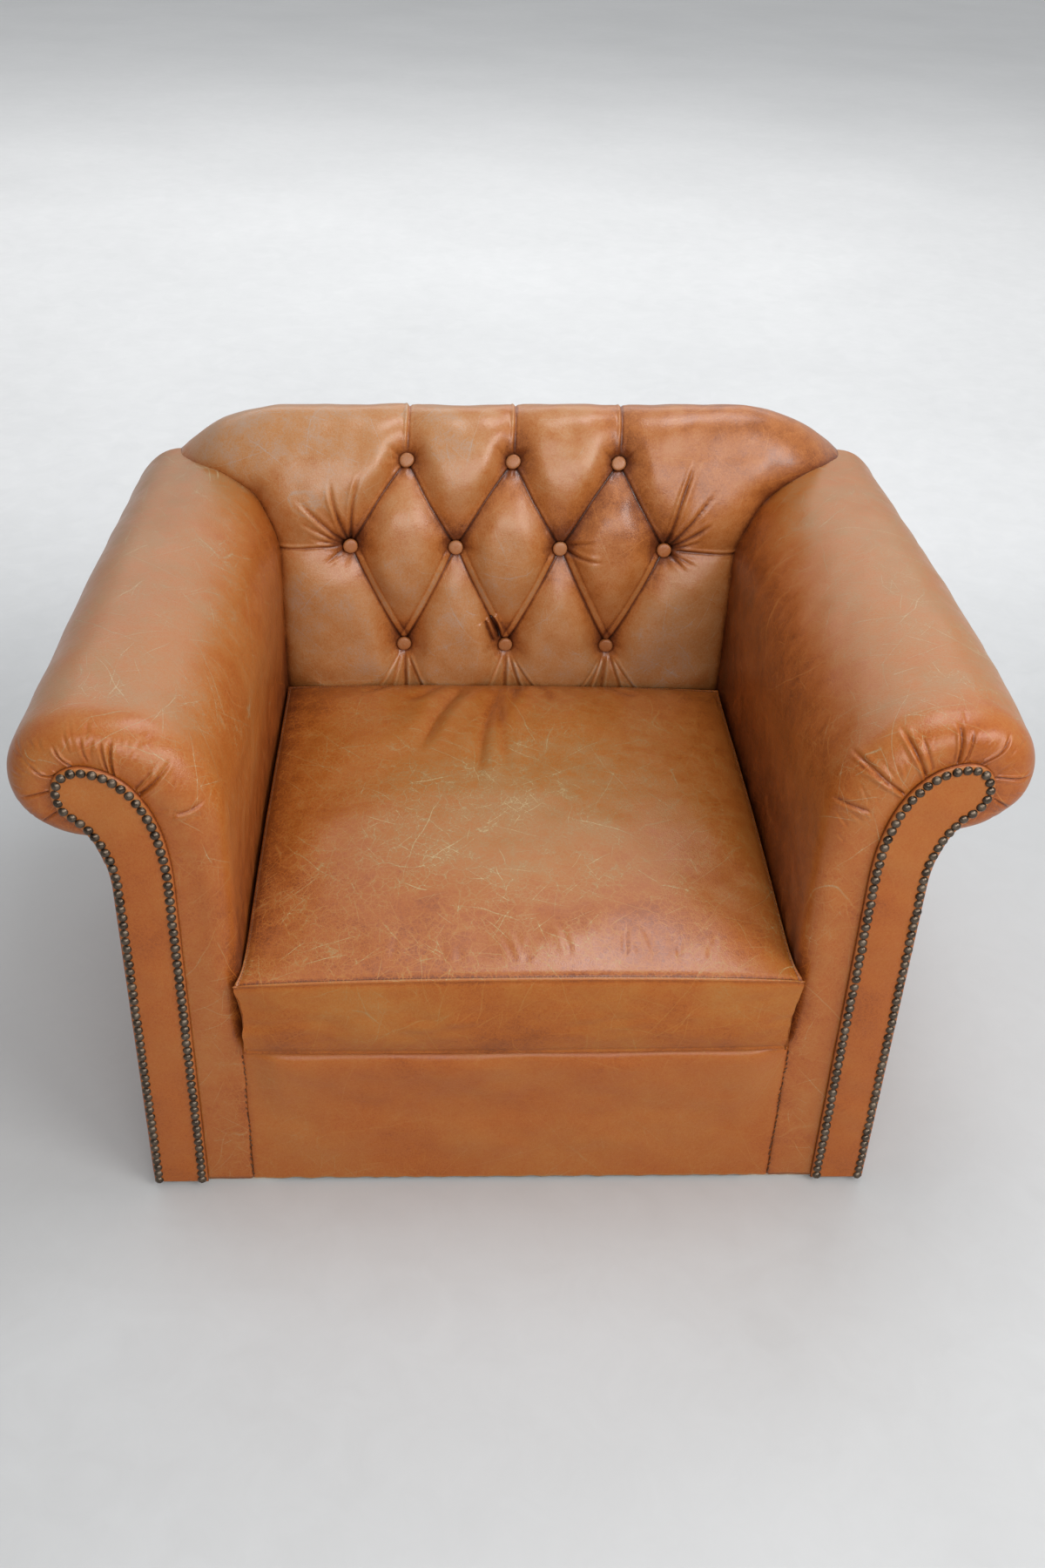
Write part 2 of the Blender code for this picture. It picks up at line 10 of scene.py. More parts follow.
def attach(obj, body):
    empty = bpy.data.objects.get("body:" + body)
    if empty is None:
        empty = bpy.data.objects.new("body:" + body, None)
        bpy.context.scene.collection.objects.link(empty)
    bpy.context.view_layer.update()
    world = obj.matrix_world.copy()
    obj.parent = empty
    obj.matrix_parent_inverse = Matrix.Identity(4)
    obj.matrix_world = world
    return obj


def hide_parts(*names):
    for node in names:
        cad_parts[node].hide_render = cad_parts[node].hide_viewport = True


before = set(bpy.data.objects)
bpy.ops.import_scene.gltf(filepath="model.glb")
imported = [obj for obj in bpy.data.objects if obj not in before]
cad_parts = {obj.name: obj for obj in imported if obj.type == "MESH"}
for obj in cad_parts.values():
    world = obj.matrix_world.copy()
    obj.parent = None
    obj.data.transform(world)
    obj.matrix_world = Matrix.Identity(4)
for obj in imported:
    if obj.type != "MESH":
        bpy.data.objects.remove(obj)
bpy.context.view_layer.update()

# All shapes are worked out in millimetres, x across, y back from the arm facings, z up from the floor.
Y_MID = 397.5
REAR = 800.0
BASE = 6.0


# ---------------------------------------------------------------- camera, floor, light
def camera():
    yaw, pitch, roll = (math.radians(a) for a in (3.499, 33.67, 2.272))
    d = Vector((math.sin(yaw) * math.cos(pitch), math.cos(yaw) * math.cos(pitch), -math.sin(pitch)))
    r = d.cross(Vector((0, 0, 1))).normalized()
    u = r.cross(d)
    r2 = r * math.cos(roll) + u * math.sin(roll)
    u2 = u * math.cos(roll) - r * math.sin(roll)
    data = bpy.data.cameras.new("photo_view")
    data.sensor_fit, data.sensor_width, data.sensor_height, data.lens = "VERTICAL", 24.0, 36.0, 35.55
    data.clip_end = 100
    cam = bpy.data.objects.new("photo_view", data)
    bpy.context.scene.collection.objects.link(cam)
    turn = Matrix((r2, u2, -d)).transposed().to_4x4()
    cam.matrix_world = Matrix.Translation((-0.0891, -1.7388, 1.4991)) @ turn
    bpy.context.scene.camera = cam


def area_light(name, at, aim, size, power, colour):
    data = bpy.data.lights.new(name, "AREA")
    data.shape, data.size, data.size_y, data.energy, data.color = "RECTANGLE", size[0], size[1], power, colour
    lamp = bpy.data.objects.new(name, data)
    bpy.context.scene.collection.objects.link(lamp)
    lamp.location = at
    lamp.rotation_euler = (Vector(aim) - Vector(at)).to_track_quat("-Z", "Y").to_euler()
    lamp.visible_camera = False


def light():
    """A pale room: brighter towards the wall behind and the ceiling, with a ceiling panel, a soft key from the right front, the wall's glow from behind and a lamp for the background."""
    world = bpy.data.worlds.new("soft_room")
    world.use_nodes = True
    tree = world.node_tree
    shade = tree.nodes["Background"]
    shade.inputs[0].default_value = (0.97, 0.985, 1.0, 1)
    coords = tree.nodes.new("ShaderNodeTexCoord")
    dot = tree.nodes.new("ShaderNodeVectorMath")
    dot.operation = "DOT_PRODUCT"
    dot.inputs[1].default_value = (0.12, 0.75, 0.55)
    tree.links.new(coords.outputs["Generated"], dot.inputs[0])
    span = tree.nodes.new("ShaderNodeMapRange")
    span.interpolation_type = "SMOOTHSTEP"
    for key, value in (("From Min", -0.5), ("From Max", 0.8), ("To Min", 0.25), ("To Max", 0.60)):
        span.inputs[key].default_value = value
    tree.links.new(dot.outputs["Value"], span.inputs["Value"])
    tree.links.new(span.outputs["Result"], shade.inputs[1])
    bpy.context.scene.world = world
    area_light("ceiling", (0.35, -0.02, 2.6), (0.15, 0.03, 0.3), (0.9, 0.65), 14.5, (0.94, 0.97, 1.0))
    area_light("key", (2.0, -2.0, 2.2), (0.0, -0.1, 0.35), (1.6, 1.2), 52, (1.0, 0.98, 0.96))
    area_light("front_fill", (0.1, -2.9, 1.9), (0.0, 0.2, 0.4), (2.2, 1.4), 48, (1.0, 0.985, 0.97))
    area_light("wall_glow", (0.76, 0.66, 2.5), (0.25, -0.25, 0.35), (0.7, 0.5), 7, (0.84, 0.92, 1.0))
    area_light("background", (0.0, 4.2, 3.2), (0.0, 4.6, 0.0), (6.0, 3.2), 99, (1.0, 1.0, 1.0))
    scene = bpy.context.scene
    scene.view_settings.view_transform = "Standard"
    scene.view_settings.look = "None"
    scene.view_settings.exposure = 0.0


# ---------------------------------------------------------------- small maths
def smooth(a, b, x):
    t = np.clip((np.asarray(x, float) - a) / (b - a), 0, 1)
    return t * t * (3 - 2 * t)


def bump1(x, w):
    return np.exp(-((np.asarray(x, float) / w) ** 2))


def bezier(p0, p1, p2, p3, n):
    t = np.linspace(0, 1, n + 1)[1:, None]
    s = 1 - t
    p0, p1, p2, p3 = (np.array(p, float) for p in (p0, p1, p2, p3))
    return s**3 * p0 + 3 * s * s * t * p1 + 3 * s * t * t * p2 + t**3 * p3


def arc(cx, cz, rx, rz, a0, a1, n):
    t = np.radians(np.linspace(a0, a1, n + 1)[1:])
    return np.stack([cx + rx * np.cos(t), cz + rz * np.sin(t)], 1)


def length_along(p):
    return np.concatenate([[0], np.cumsum(np.linalg.norm(np.diff(p, axis=0), axis=1))])


def at_lengths(p, s):
    a = length_along(p)
    return np.stack([np.interp(s, a, p[:, k]) for k in range(p.shape[1])], 1)


def offset(p, d, closed=False):
    """A polyline moved d to its right hand side."""
    q = np.vstack([p[-1:], p, p[:1]]) if closed else np.vstack([2 * p[:1] - p[1:2], p, 2 * p[-1:] - p[-2:-1]])
    a, b = q[1:-1] - q[:-2], q[2:] - q[1:-1]
    a = a / np.maximum(np.linalg.norm(a, axis=1), 1e-9)[:, None]
    b = b / np.maximum(np.linalg.norm(b, axis=1), 1e-9)[:, None]
    m = (np.stack([a[:, 1], -a[:, 0]], 1) + np.stack([b[:, 1], -b[:, 0]], 1)) / 2
    return p + d * m / np.maximum((m**2).sum(1), 0.3)[:, None]


def waves(p, wavelength, seed, n=14):
    """Smooth noise of about unit size with about that wavelength, from fixed sine waves."""
    r = np.random.default_rng(seed)
    k = r.normal(size=(n, p.shape[-1]))
    k *= (2 * np.pi / wavelength / np.linalg.norm(k, axis=1) * r.uniform(0.6, 1.5, n))[:, None]
    ph = r.uniform(0, 2 * np.pi, n)
    out = np.zeros(p.shape[:-1])
    for i in range(n):
        out += np.sin(p @ k[i] + ph[i])
    return out / math.sqrt(n / 2)


def to_line(x, y, line):
    """Distance, share along, and side of each point from a polyline in the plane."""
    line = np.array(line, float)
    along = length_along(line)
    best = np.full(x.shape, 1e9)
    share = np.zeros(x.shape)
    side = np.ones(x.shape)
    for i in range(len(line) - 1):
        ax, ay = line[i]
        dx, dy = line[i + 1] - line[i]
        n = math.hypot(dx, dy)
        t = np.clip(((x - ax) * dx + (y - ay) * dy) / (n * n), 0, 1)
        ex, ey = x - ax - t * dx, y - ay - t * dy
        d = np.hypot(ex, ey)
        near = d < best
        best = np.where(near, d, best)
        share = np.where(near, (along[i] + t * n) / along[-1], share)
        side = np.where(near, np.sign(dx * ey - dy * ex), side)
    return best, share, side


def curve_through(line, n=9):
    """A smooth polyline through a few points."""
    p = np.array(line, float)
    a = length_along(p)
    s = np.linspace(0, a[-1], n)
    if len(p) < 3:
        return at_lengths(p, s)
    out = []
    for k in range(p.shape[1]):
        out.append(np.polyval(np.polyfit(a, p[:, k], 2), s))
    return np.stack(out, 1)


def crease(x, y, line, depth, width, lip=0.5, fade=(0.12, 0.35)):
    """A fold in the plane: (height, darkness). A narrow valley with a raised lip on its left, fading towards its two
    ends. The darkness is painted shade along the valley.
    """
    line = curve_through(line)
    lo, hi = line.min(0) - 6 * width - 4, line.max(0) + 6 * width + 4
    near = (x > lo[0]) & (x < hi[0]) & (y > lo[1]) & (y < hi[1])
    height, dark = np.zeros(x.shape), np.zeros(x.shape)
    if not near.any():
        return height, dark
    d, t, side = to_line(x[near], y[near], line)
    s = d * side
    amp = np.ones(d.shape)
    if fade[0]:
        amp = amp * smooth(0, fade[0], t)
    if fade[1]:
        amp = amp * (1 - smooth(1 - fade[1], 1.0, t))
    valley = -depth * np.exp(-((np.abs(s) / width) ** 1.3))
    ridge = lip * depth * np.exp(-(((s - 2.3 * width) / (1.5 * width)) ** 2)) + 0.45 * lip * depth * np.exp(-(((s + 2.6 * width) / (1.7 * width)) ** 2))
    height[near] = (valley + ridge) * amp
    dark[near] = np.exp(-((s / (0.75 * width)) ** 2)) * amp * min(depth / 2.5, 1.0)
    return height, dark


# ---------------------------------------------------------------- meshes
def settle(v):
    """The chair isn't quite even: its left front sits a few millimetres lower than its right, its arms sink a little to the rear, and its arms and top lean to the right."""
    v = np.array(v, float).reshape(-1, 3)
    x, y, z = v[:, 0].copy(), v[:, 1].copy(), v[:, 2].copy()
    outer = smooth(310, 400, np.abs(x)) * smooth(450, 620, z)
    along = np.maximum(1 - smooth(330, 640, y), outer)
    v[:, 2] += 0.0115 * x * smooth(60, 330, z) * along
    v[:, 2] -= (6.0 + 5.0 * (x < 0)) * smooth(420, 790, y) * smooth(400, 470, np.abs(x)) * smooth(540, 671, z)
    v[:, 2] += (6.0 + 0.018 * np.clip(x, -330, 330)) * smooth(690, 728, z) * (1 - smooth(300, 420, np.abs(x)))
    high = np.maximum(smooth(620, 690, z), smooth(300, 380, np.abs(x)) * smooth(330, 640, z))
    v[:, 0] += 6.0 * high * smooth(-10, 220, y)
    v[:, 0] -= np.sign(x) * 7.0 * smooth(470, 540, np.abs(x)) * smooth(100, 780, y)
    return v


def piece(name, verts, faces, mat, attrs=None, sharp=None, outward=True, pick=None):
    """A mesh object from verts in mm and faces of any number of corners."""
    mesh = bpy.data.meshes.new(name)
    v = (settle(verts) - (0, Y_MID, 0)) * 0.001
    mesh.from_pydata(v.tolist(), [], [list(map(int, f)) for f in faces])
    for key, values in (attrs or {}).items():
        a = mesh.attributes.new(key, "FLOAT", "POINT")
        a.data.foreach_set("value", np.asarray(values, np.float32).ravel())
    mesh.validate()
    obj = bpy.data.objects.new(name, mesh)
    bpy.context.scene.collection.objects.link(obj)
    bm = bmesh.new()
    bm.from_mesh(mesh)
    bmesh.ops.delete(bm, geom=[w for w in bm.verts if not w.link_faces], context="VERTS")
    if outward:
        bmesh.ops.recalc_face_normals(bm, faces=bm.faces)
    big = [f for f in bm.faces if len(f.verts) > 6]
    if big:
        bmesh.ops.triangulate(bm, faces=big, ngon_method="EAR_CLIP")
    bm.to_mesh(mesh)
    bm.free()
    if pick:
        # an open sheet: its face nearest the given point must look the given way
        at, way = (Vector(pick[0]) - Vector((0, Y_MID, 0))) * 0.001, Vector(pick[1])
        near = min(mesh.polygons, key=lambda f: (f.center - at).length_squared)
        if near.normal.dot(way) < 0:
            mesh.flip_normals()
    mesh.shade_smooth()
    if sharp:
        mesh.set_sharp_from_angle(angle=math.radians(sharp))
    mesh.materials.append(mat)
    return obj


def grid_faces(nu, nv, close_u=False, close_v=False, start=0, flip=False):
    idx = np.arange(nu * nv).reshape(nu, nv) + start
    if close_u:
        idx = np.vstack([idx, idx[:1]])
    if close_v:
        idx = np.hstack([idx, idx[:, :1]])
    f = np.stack([idx[:-1, :-1], idx[1:, :-1], idx[1:, 1:], idx[:-1, 1:]], -1).reshape(-1, 4)
    return f[:, ::-1] if flip else f


def normals(p):
    n = np.cross(np.gradient(p, axis=0), np.gradient(p, axis=1))
    return n / np.maximum(np.linalg.norm(n, axis=-1, keepdims=True), 1e-9)


def apply(obj):
    graph = bpy.context.evaluated_depsgraph_get()
    mesh = bpy.data.meshes.new_from_object(obj.evaluated_get(graph), preserve_all_data_layers=True, depsgraph=graph)
    obj.modifiers.clear()
    old = obj.data
    obj.data = mesh
    bpy.data.meshes.remove(old)
    mesh.name = obj.name


def thicken(obj, mm):
    m = obj.modifiers.new("hide", "SOLIDIFY")
    m.thickness, m.offset, m.use_even_offset = mm * 0.001, -1.0, False
    apply(obj)
    return obj


def place(obj, body="chair_body", replaces=()):
    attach(obj, body)
    if replaces:
        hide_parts(*replaces)
    return obj


# ---------------------------------------------------------------- materials
class Nodes:
    """A little help for building node trees."""

    def __init__(self, name):
        self.mat = bpy.data.materials.new(name)
        self.mat.use_nodes = True
        self.tree = self.mat.node_tree
        self.shader = self.tree.nodes["Principled BSDF"]
        self.coords = self.tree.nodes.new("ShaderNodeTexCoord").outputs["Object"]

    def link(self, a, b):
        self.tree.links.new(a, b)

    def put(self, socket, value):
        if hasattr(value, "is_output"):
            self.link(value, socket)
        else:
            socket.default_value = value

    def mapped(self, scale, turn=(0, 0, 0), shift=(0, 0, 0)):
        n = self.tree.nodes.new("ShaderNodeMapping")
        n.vector_type = "TEXTURE"
        n.inputs["Scale"].default_value = tuple(1.0 / s for s in scale)
        n.inputs["Rotation"].default_value = turn
        n.inputs["Location"].default_value = shift
        self.link(self.coords, n.inputs["Vector"])
        return n.outputs[0]

    def noise(self, scale, detail=3.0, rough=0.55, warp=0.0, vector=None):
        n = self.tree.nodes.new("ShaderNodeTexNoise")
        self.link(vector or self.coords, n.inputs["Vector"])
        n.inputs["Scale"].default_value = scale
        n.inputs["Detail"].default_value = detail
        n.inputs["Roughness"].default_value = rough
        n.inputs["Distortion"].default_value = warp
        return n.outputs["Fac"]

    def voronoi(self, scale, feature="F1", vector=None, random=1.0):
        n = self.tree.nodes.new("ShaderNodeTexVoronoi")
        n.feature = feature
        self.link(vector or self.coords, n.inputs["Vector"])
        n.inputs["Scale"].default_value = scale
        n.inputs["Randomness"].default_value = random
        return n.outputs["Distance"]

    def wave(self, scale, distortion, detail_scale, vector=None, direction="X"):
        n = self.tree.nodes.new("ShaderNodeTexWave")
        n.bands_direction = direction
        self.link(vector or self.coords, n.inputs["Vector"])
        n.inputs["Scale"].default_value = scale
        n.inputs["Distortion"].default_value = distortion
        n.inputs["Detail"].default_value = 3.0
        n.inputs["Detail Scale"].default_value = detail_scale
        return n.outputs["Fac"]

    def bent(self, scale, by):
        """Object coordinates pushed about by noise."""
        n = self.tree.nodes.new("ShaderNodeTexNoise")
        self.link(self.coords, n.inputs["Vector"])
        n.inputs["Scale"].default_value = scale
        n.inputs["Detail"].default_value = 3.0
        add = self.tree.nodes.new("ShaderNodeVectorMath")
        add.operation = "MULTIPLY_ADD"
        self.link(n.outputs["Color"], add.inputs[0])
        add.inputs[1].default_value = (by, by, by)
        self.link(self.coords, add.inputs[2])
        return add.outputs[0]

    def scratches(self, scale, width, shift):
        """Straight hairlines: in each cell of a Voronoi pattern the trace of a plane lying at random, fading towards the cell's edge."""
        at = self.tree.nodes.new("ShaderNodeVectorMath")
        at.operation = "MULTIPLY_ADD"
        self.link(self.bent(5.0, 0.05), at.inputs[0])
        at.inputs[1].default_value = (scale, scale, scale)
        at.inputs[2].default_value = shift
        cell = self.tree.nodes.new("ShaderNodeTexVoronoi")
        cell.feature = "F1"
        cell.inputs["Scale"].default_value = 1.0
        self.link(at.outputs[0], cell.inputs["Vector"])

        def vector(op, a, b=None):
            n = self.tree.nodes.new("ShaderNodeVectorMath")
            n.operation = op
            self.put(n.inputs[0], a)
            if b is not None:
                self.put(n.inputs[1], b)
            return n.outputs["Value"] if op in ("DOT_PRODUCT", "LENGTH") else n.outputs["Vector"]

        local = vector("SUBTRACT", at.outputs[0], cell.outputs["Position"])
        way = vector("NORMALIZE", vector("SUBTRACT", cell.outputs["Color"], (0.5, 0.5, 0.5)))
        line = self.span(self.math("ABSOLUTE", vector("DOT_PRODUCT", local, way)), 0.0, width * scale, 1.0, 0.0)
        near = self.span(vector("LENGTH", local), 0.2, 0.62, 1.0, 0.0)
        return self.math("MULTIPLY", line, near)

    def attr(self, name):
        n = self.tree.nodes.new("ShaderNodeAttribute")
        n.attribute_name = name
        return n.outputs["Fac"]

    def math(self, op, a, b=None, c=None, clamp=False):
        n = self.tree.nodes.new("ShaderNodeMath")
        n.operation, n.use_clamp = op, clamp
        for socket, value in zip(n.inputs, (a, b, c)):
            if value is not None:
                self.put(socket, value)
        return n.outputs[0]

    def span(self, x, a, b, c=0.0, d=1.0):
        n = self.tree.nodes.new("ShaderNodeMapRange")
        n.interpolation_type = "SMOOTHSTEP"
        self.put(n.inputs["Value"], x)
        for key, value in (("From Min", a), ("From Max", b), ("To Min", c), ("To Max", d)):
            n.inputs[key].default_value = value
        return n.outputs["Result"]

    def ramp(self, x, stops):
        n = self.tree.nodes.new("ShaderNodeValToRGB")
        e = n.color_ramp.elements
        while len(e) < len(stops):
            e.new(0.5)
        for item, (pos, col) in zip(e, stops):
            item.position, item.color = pos, (*col, 1)
        self.link(x, n.inputs["Fac"])
        return n.outputs["Color"]

    def bump(self, height, distance, strength=1.0, under=None):
        n = self.tree.nodes.new("ShaderNodeBump")
        n.inputs["Distance"].default_value = distance
        n.inputs["Strength"].default_value = strength
        self.link(height, n.inputs["Height"])
        if under:
            self.link(under, n.inputs["Normal"])
        return n.outputs[0]

    def set(self, **values):
        for key, value in values.items():
            self.put(self.shader.inputs[key.replace("_", " ")], value)
        return self.mat


def leather(name, shift=0.0, crackle=1.0, scratch=1.0, gloss=0.0, tint=(1.0, 1.0, 1.0), shine=0.45, patch=0.8, crease=1.0):
    """Cognac pull-up hide: cloudy colour, pebble grain, pale crackle and hairline scratches where it is worn, dark
    where the tone attribute says. The tone attribute carries painted shade and painted highlights as well as the hide's
    own colour.
    """
    n = Nodes(name)
    worn = n.attr("wear")
    cloud = n.noise(5.5, 4.0, 0.55, 0.4)
    mottle = n.noise(36.0, 4.0, 0.62)
    speck = n.noise(300.0, 2.0, 0.6)
    grain = n.voronoi(560.0, "F1")
    t = n.math("MULTIPLY_ADD", n.attr("tone"), 0.25, 0.52 + shift)
    t = n.math("MULTIPLY_ADD", n.math("SUBTRACT", cloud, 0.5), 0.40 * patch, t)
    t = n.math("MULTIPLY_ADD", n.math("SUBTRACT", mottle, 0.5), 0.42 * patch, t)
    t = n.math("MULTIPLY_ADD", n.math("SUBTRACT", speck, 0.5), 0.19, t)
    t = n.math("MULTIPLY_ADD", n.math("SUBTRACT", grain, 0.4), -0.11, t)
    net = n.bent(14.0, 0.022)
    spread = 0.14 * (crease - 1.0)
    marks = None
    for scale, width, low, high, weight in ((46.0, 0.026, 0.42, 0.74, 0.18), (92.0, 0.040, 0.42, 0.74, 0.20), (170.0, 0.065, 0.45, 0.74, 0.16)):
        line = n.span(n.voronoi(scale, "DISTANCE_TO_EDGE", net), 0.0, width * crease, 1.0, 0.0)
        mask = n.span(n.noise(scale * 0.22, 3.0, 0.6), low - spread, high - spread)
        part = n.math("MULTIPLY", n.math("MULTIPLY", line, mask), weight * crackle)
        marks = part if marks is None else n.math("ADD", marks, part)
    layers = ((3.8, 0.0009, 0.24), (4.8, 0.0009, 0.24), (6.0, 0.0008, 0.24), (7.4, 0.0008, 0.24), (9.0, 0.0008, 0.24), (11.0, 0.0007, 0.24), (13.5, 0.0007, 0.24), (17.0, 0.0007, 0.24), (22.0, 0.0006, 0.24), (28.0, 0.0006, 0.24))
    for k, (scale, width, weight) in enumerate(layers):
        mask = n.span(n.noise(6.0, 2.0, 0.5, 0.0, n.mapped((1, 1, 1), (0, 0, 0), (0.37 * k, 0.21 * k, 0.3))), 0.28, 0.56)
        line = n.math("MULTIPLY", n.scratches(scale, width, (3.1 * k, 1.7 * k, 2.3 * k)), mask)
        marks = n.math("ADD", marks, n.math("MULTIPLY", line, weight * scratch))
    marks = n.math("MULTIPLY", marks, worn)
    t = n.math("ADD", t, marks, clamp=True)
    stops = (
        (0.0, (0.030, 0.007, 0.003)),
        (0.25, (0.150, 0.034, 0.007)),
        (0.45, (0.322, 0.083, 0.012)),
        (0.60, (0.350, 0.118, 0.024)),
        (0.80, (0.312, 0.165, 0.069)),
        (1.0, (0.430, 0.290, 0.160)),
    )
    # the tint is weaker where the hide is dark
    colour = n.ramp(t, tuple((at, tuple(c * k ** min(1.0, at / 0.55) for c, k in zip(col, tint))) for at, col in stops))
    fine = n.noise(900.0, 2.0, 0.6)
    height = n.math("MULTIPLY_ADD", grain, 0.6, n.math("MULTIPLY", fine, 0.4))
    soft = n.noise(75.0, 3.0, 0.6)
    b1 = n.bump(soft, 0.0011, 0.32)
    b2 = n.bump(height, 0.0005, 0.4, b1)
    rough = n.span(n.math("ADD", mottle, n.math("MULTIPLY", marks, 0.8)), 0.25, 0.9, 0.34 - gloss, 0.50 - gloss)
    n.link(b2, n.shader.inputs["Normal"])
    rough = n.math("MULTIPLY_ADD", n.attr("dull"), 0.25, rough)
    return n.set(Base_Color=colour, Roughness=rough, Specular_IOR_Level=shine, Coat_Weight=0.25 * shine, Coat_Roughness=0.22)


def wood(name, light_tone, dark_tone, rough=0.55):
    n = Nodes(name)
    rings = n.wave(1.4, 7.0, 1.4, n.mapped((9.0, 9.0, 1.2)))
    pores = n.noise(1.0, 3.0, 0.7, 0.0, n.mapped((420, 420, 22)))
    t = n.math("MULTIPLY_ADD", rings, 0.6, n.math("MULTIPLY", pores, 0.4))
    colour = n.ramp(t, ((0.2, dark_tone), (0.8, light_tone)))
    n.link(n.bump(pores, 0.0004, 0.4), n.shader.inputs["Normal"])
    return n.set(Base_Color=colour, Roughness=n.span(pores, 0.2, 0.8, rough - 0.1, rough + 0.1))


def woven(name, light_tone, dark_tone, pitch=650.0):
    n = Nodes(name)
    a = n.wave(pitch / 6.283, 0.6, 4.0, None, "X")
    b = n.wave(pitch / 6.283, 0.6, 4.0, None, "Y")
    t = n.math("MULTIPLY", a, b)
    fuzz = n.noise(120.0, 3.0, 0.6)
    colour = n.ramp(n.math("MULTIPLY_ADD", fuzz, 0.5, n.math("MULTIPLY", t, 0.5)), ((0.15, dark_tone), (0.75, light_tone)))
    n.link(n.bump(t, 0.0006, 0.6), n.shader.inputs["Normal"])
    return n.set(Base_Color=colour, Roughness=n.span(fuzz, 0.2, 0.8, 0.75, 0.95), Sheen_Weight=0.2)


def metal(name, light_tone, dark_tone, rough):
    n = Nodes(name)
    stain = n.noise(75.0, 3.0, 0.6)
    scuff = n.noise(700.0, 2.0, 0.6)
    colour = n.ramp(n.math("MULTIPLY_ADD", stain, 0.7, n.math("MULTIPLY", scuff, 0.3)), ((0.35, dark_tone), (0.68, light_tone)))
    n.link(n.bump(scuff, 0.00012, 0.3), n.shader.inputs["Normal"])
    return n.set(Base_Color=colour, Metallic=1.0, Roughness=n.span(stain, 0.3, 0.7, rough - 0.1, rough + 0.14))


def foam(name):
    n = Nodes(name)
    cells = n.voronoi(900.0, "F1")
    patch = n.noise(30.0, 3.0, 0.6)
    colour = n.ramp(n.math("MULTIPLY_ADD", patch, 0.6, n.math("MULTIPLY", cells, 0.4)), ((0.2, (0.55, 0.46, 0.27)), (0.75, (0.80, 0.73, 0.53))))
    n.link(n.bump(cells, 0.0008, 0.6), n.shader.inputs["Normal"])
    return n.set(Base_Color=colour, Roughness=n.span(patch, 0.2, 0.8, 0.85, 0.97))


def thread(name, tone):
    n = Nodes(name)
    twist = n.wave(220.0, 2.0, 2.0, n.mapped((1, 1, 1), (0.6, 0.6, 0.6)))
    colour = n.ramp(twist, ((0.2, tuple(c * 0.6 for c in tone)), (0.8, tone)))
    n.link(n.bump(twist, 0.0003, 0.6), n.shader.inputs["Normal"])
    return n.set(Base_Color=colour, Roughness=n.span(twist, 0, 1, 0.6, 0.8))


def floor_material():
    """Pale stone floor that turns paler away behind the chair."""
    n = Nodes("pale_floor")
    cloud = n.noise(1.3, 3.0, 0.5)
    veins = n.noise(16.0, 5.0, 0.65, 0.8)
    depth = n.tree.nodes.new("ShaderNodeSeparateXYZ")
    n.link(n.coords, depth.inputs[0])
    far = n.span(depth.outputs["Y"], -3.9, -2.2)
    t = n.math("MULTIPLY_ADD", cloud, 0.22, n.math("MULTIPLY", veins, 0.20))
    t = n.math("MULTIPLY_ADD", far, 0.62, n.math("SUBTRACT", t, 0.02))
    colour = n.ramp(t, ((0.08, (0.465, 0.47, 0.472)), (0.32, (0.53, 0.54, 0.545)), (1.0, (0.90, 0.905, 0.91))))
    return n.set(Base_Color=colour, Roughness=n.span(veins, 0.3, 0.7, 0.42, 0.56), Specular_IOR_Level=0.3)


# ---------------------------------------------------------------- shared outlines
def arm_profile():
    """Right arm's skin in (x, z), from the inner bottom over the roll to where it meets the outside panel."""
    return np.vstack(
        [
            [[323.0, BASE], [322.5, 120.0], [321.5, 226.0], [320.0, 300.0], [319.6, 400.0], [320.2, 490.0], [321.0, 530.0]],
            bezier((321.0, 530.0), (322.0, 600.0), (368.0, 671.0), (470.0, 671.0), 60),
            arc(470.0, 594.0, 79.0, 77.0, 90, 0, 40),
            arc(470.0, 594.0, 79.0, 64.0, 0, -90, 36),
            [[458.0, 530.5], [447.5, 533.0]],
        ]
    )


def nail_line():
    """Right facing's line of nails in (x, z), from its inner foot round the roll to its outer foot."""
    p0, p1, p2, p3 = (385.5, 470.0), (462.0, 619.5), (474.0, 562.0), (439.0, 470.0)
    return np.vstack(
        [
            [(385.5, 12.0), p0],
            bezier(p0, (385.5, 562.0), (415.0, 615.0), p1, 40),
            bezier(p1, (492.0, 621.0), (500.0, 582.0), p2, 40),
            bezier(p2, (456.0, 547.0), (440.0, 516.0), p3, 30),
            [(438.0, 12.0)],
        ]
    )


def facing_outline():
    p = offset(nail_line(), -6.6)
    p[0, 1] = p[-1, 1] = BASE
    return p


def shoulder_top(x):
    """Height of the back's top edge at each x."""
    p = np.vstack([[(0.0, 731.0), (322.0, 731.0)], bezier((322.0, 731.0), (394.0, 731.0), (441.0, 701.0), (474.0, 669.0), 40)])
    return np.interp(np.abs(x), p[:, 0], p[:, 1])


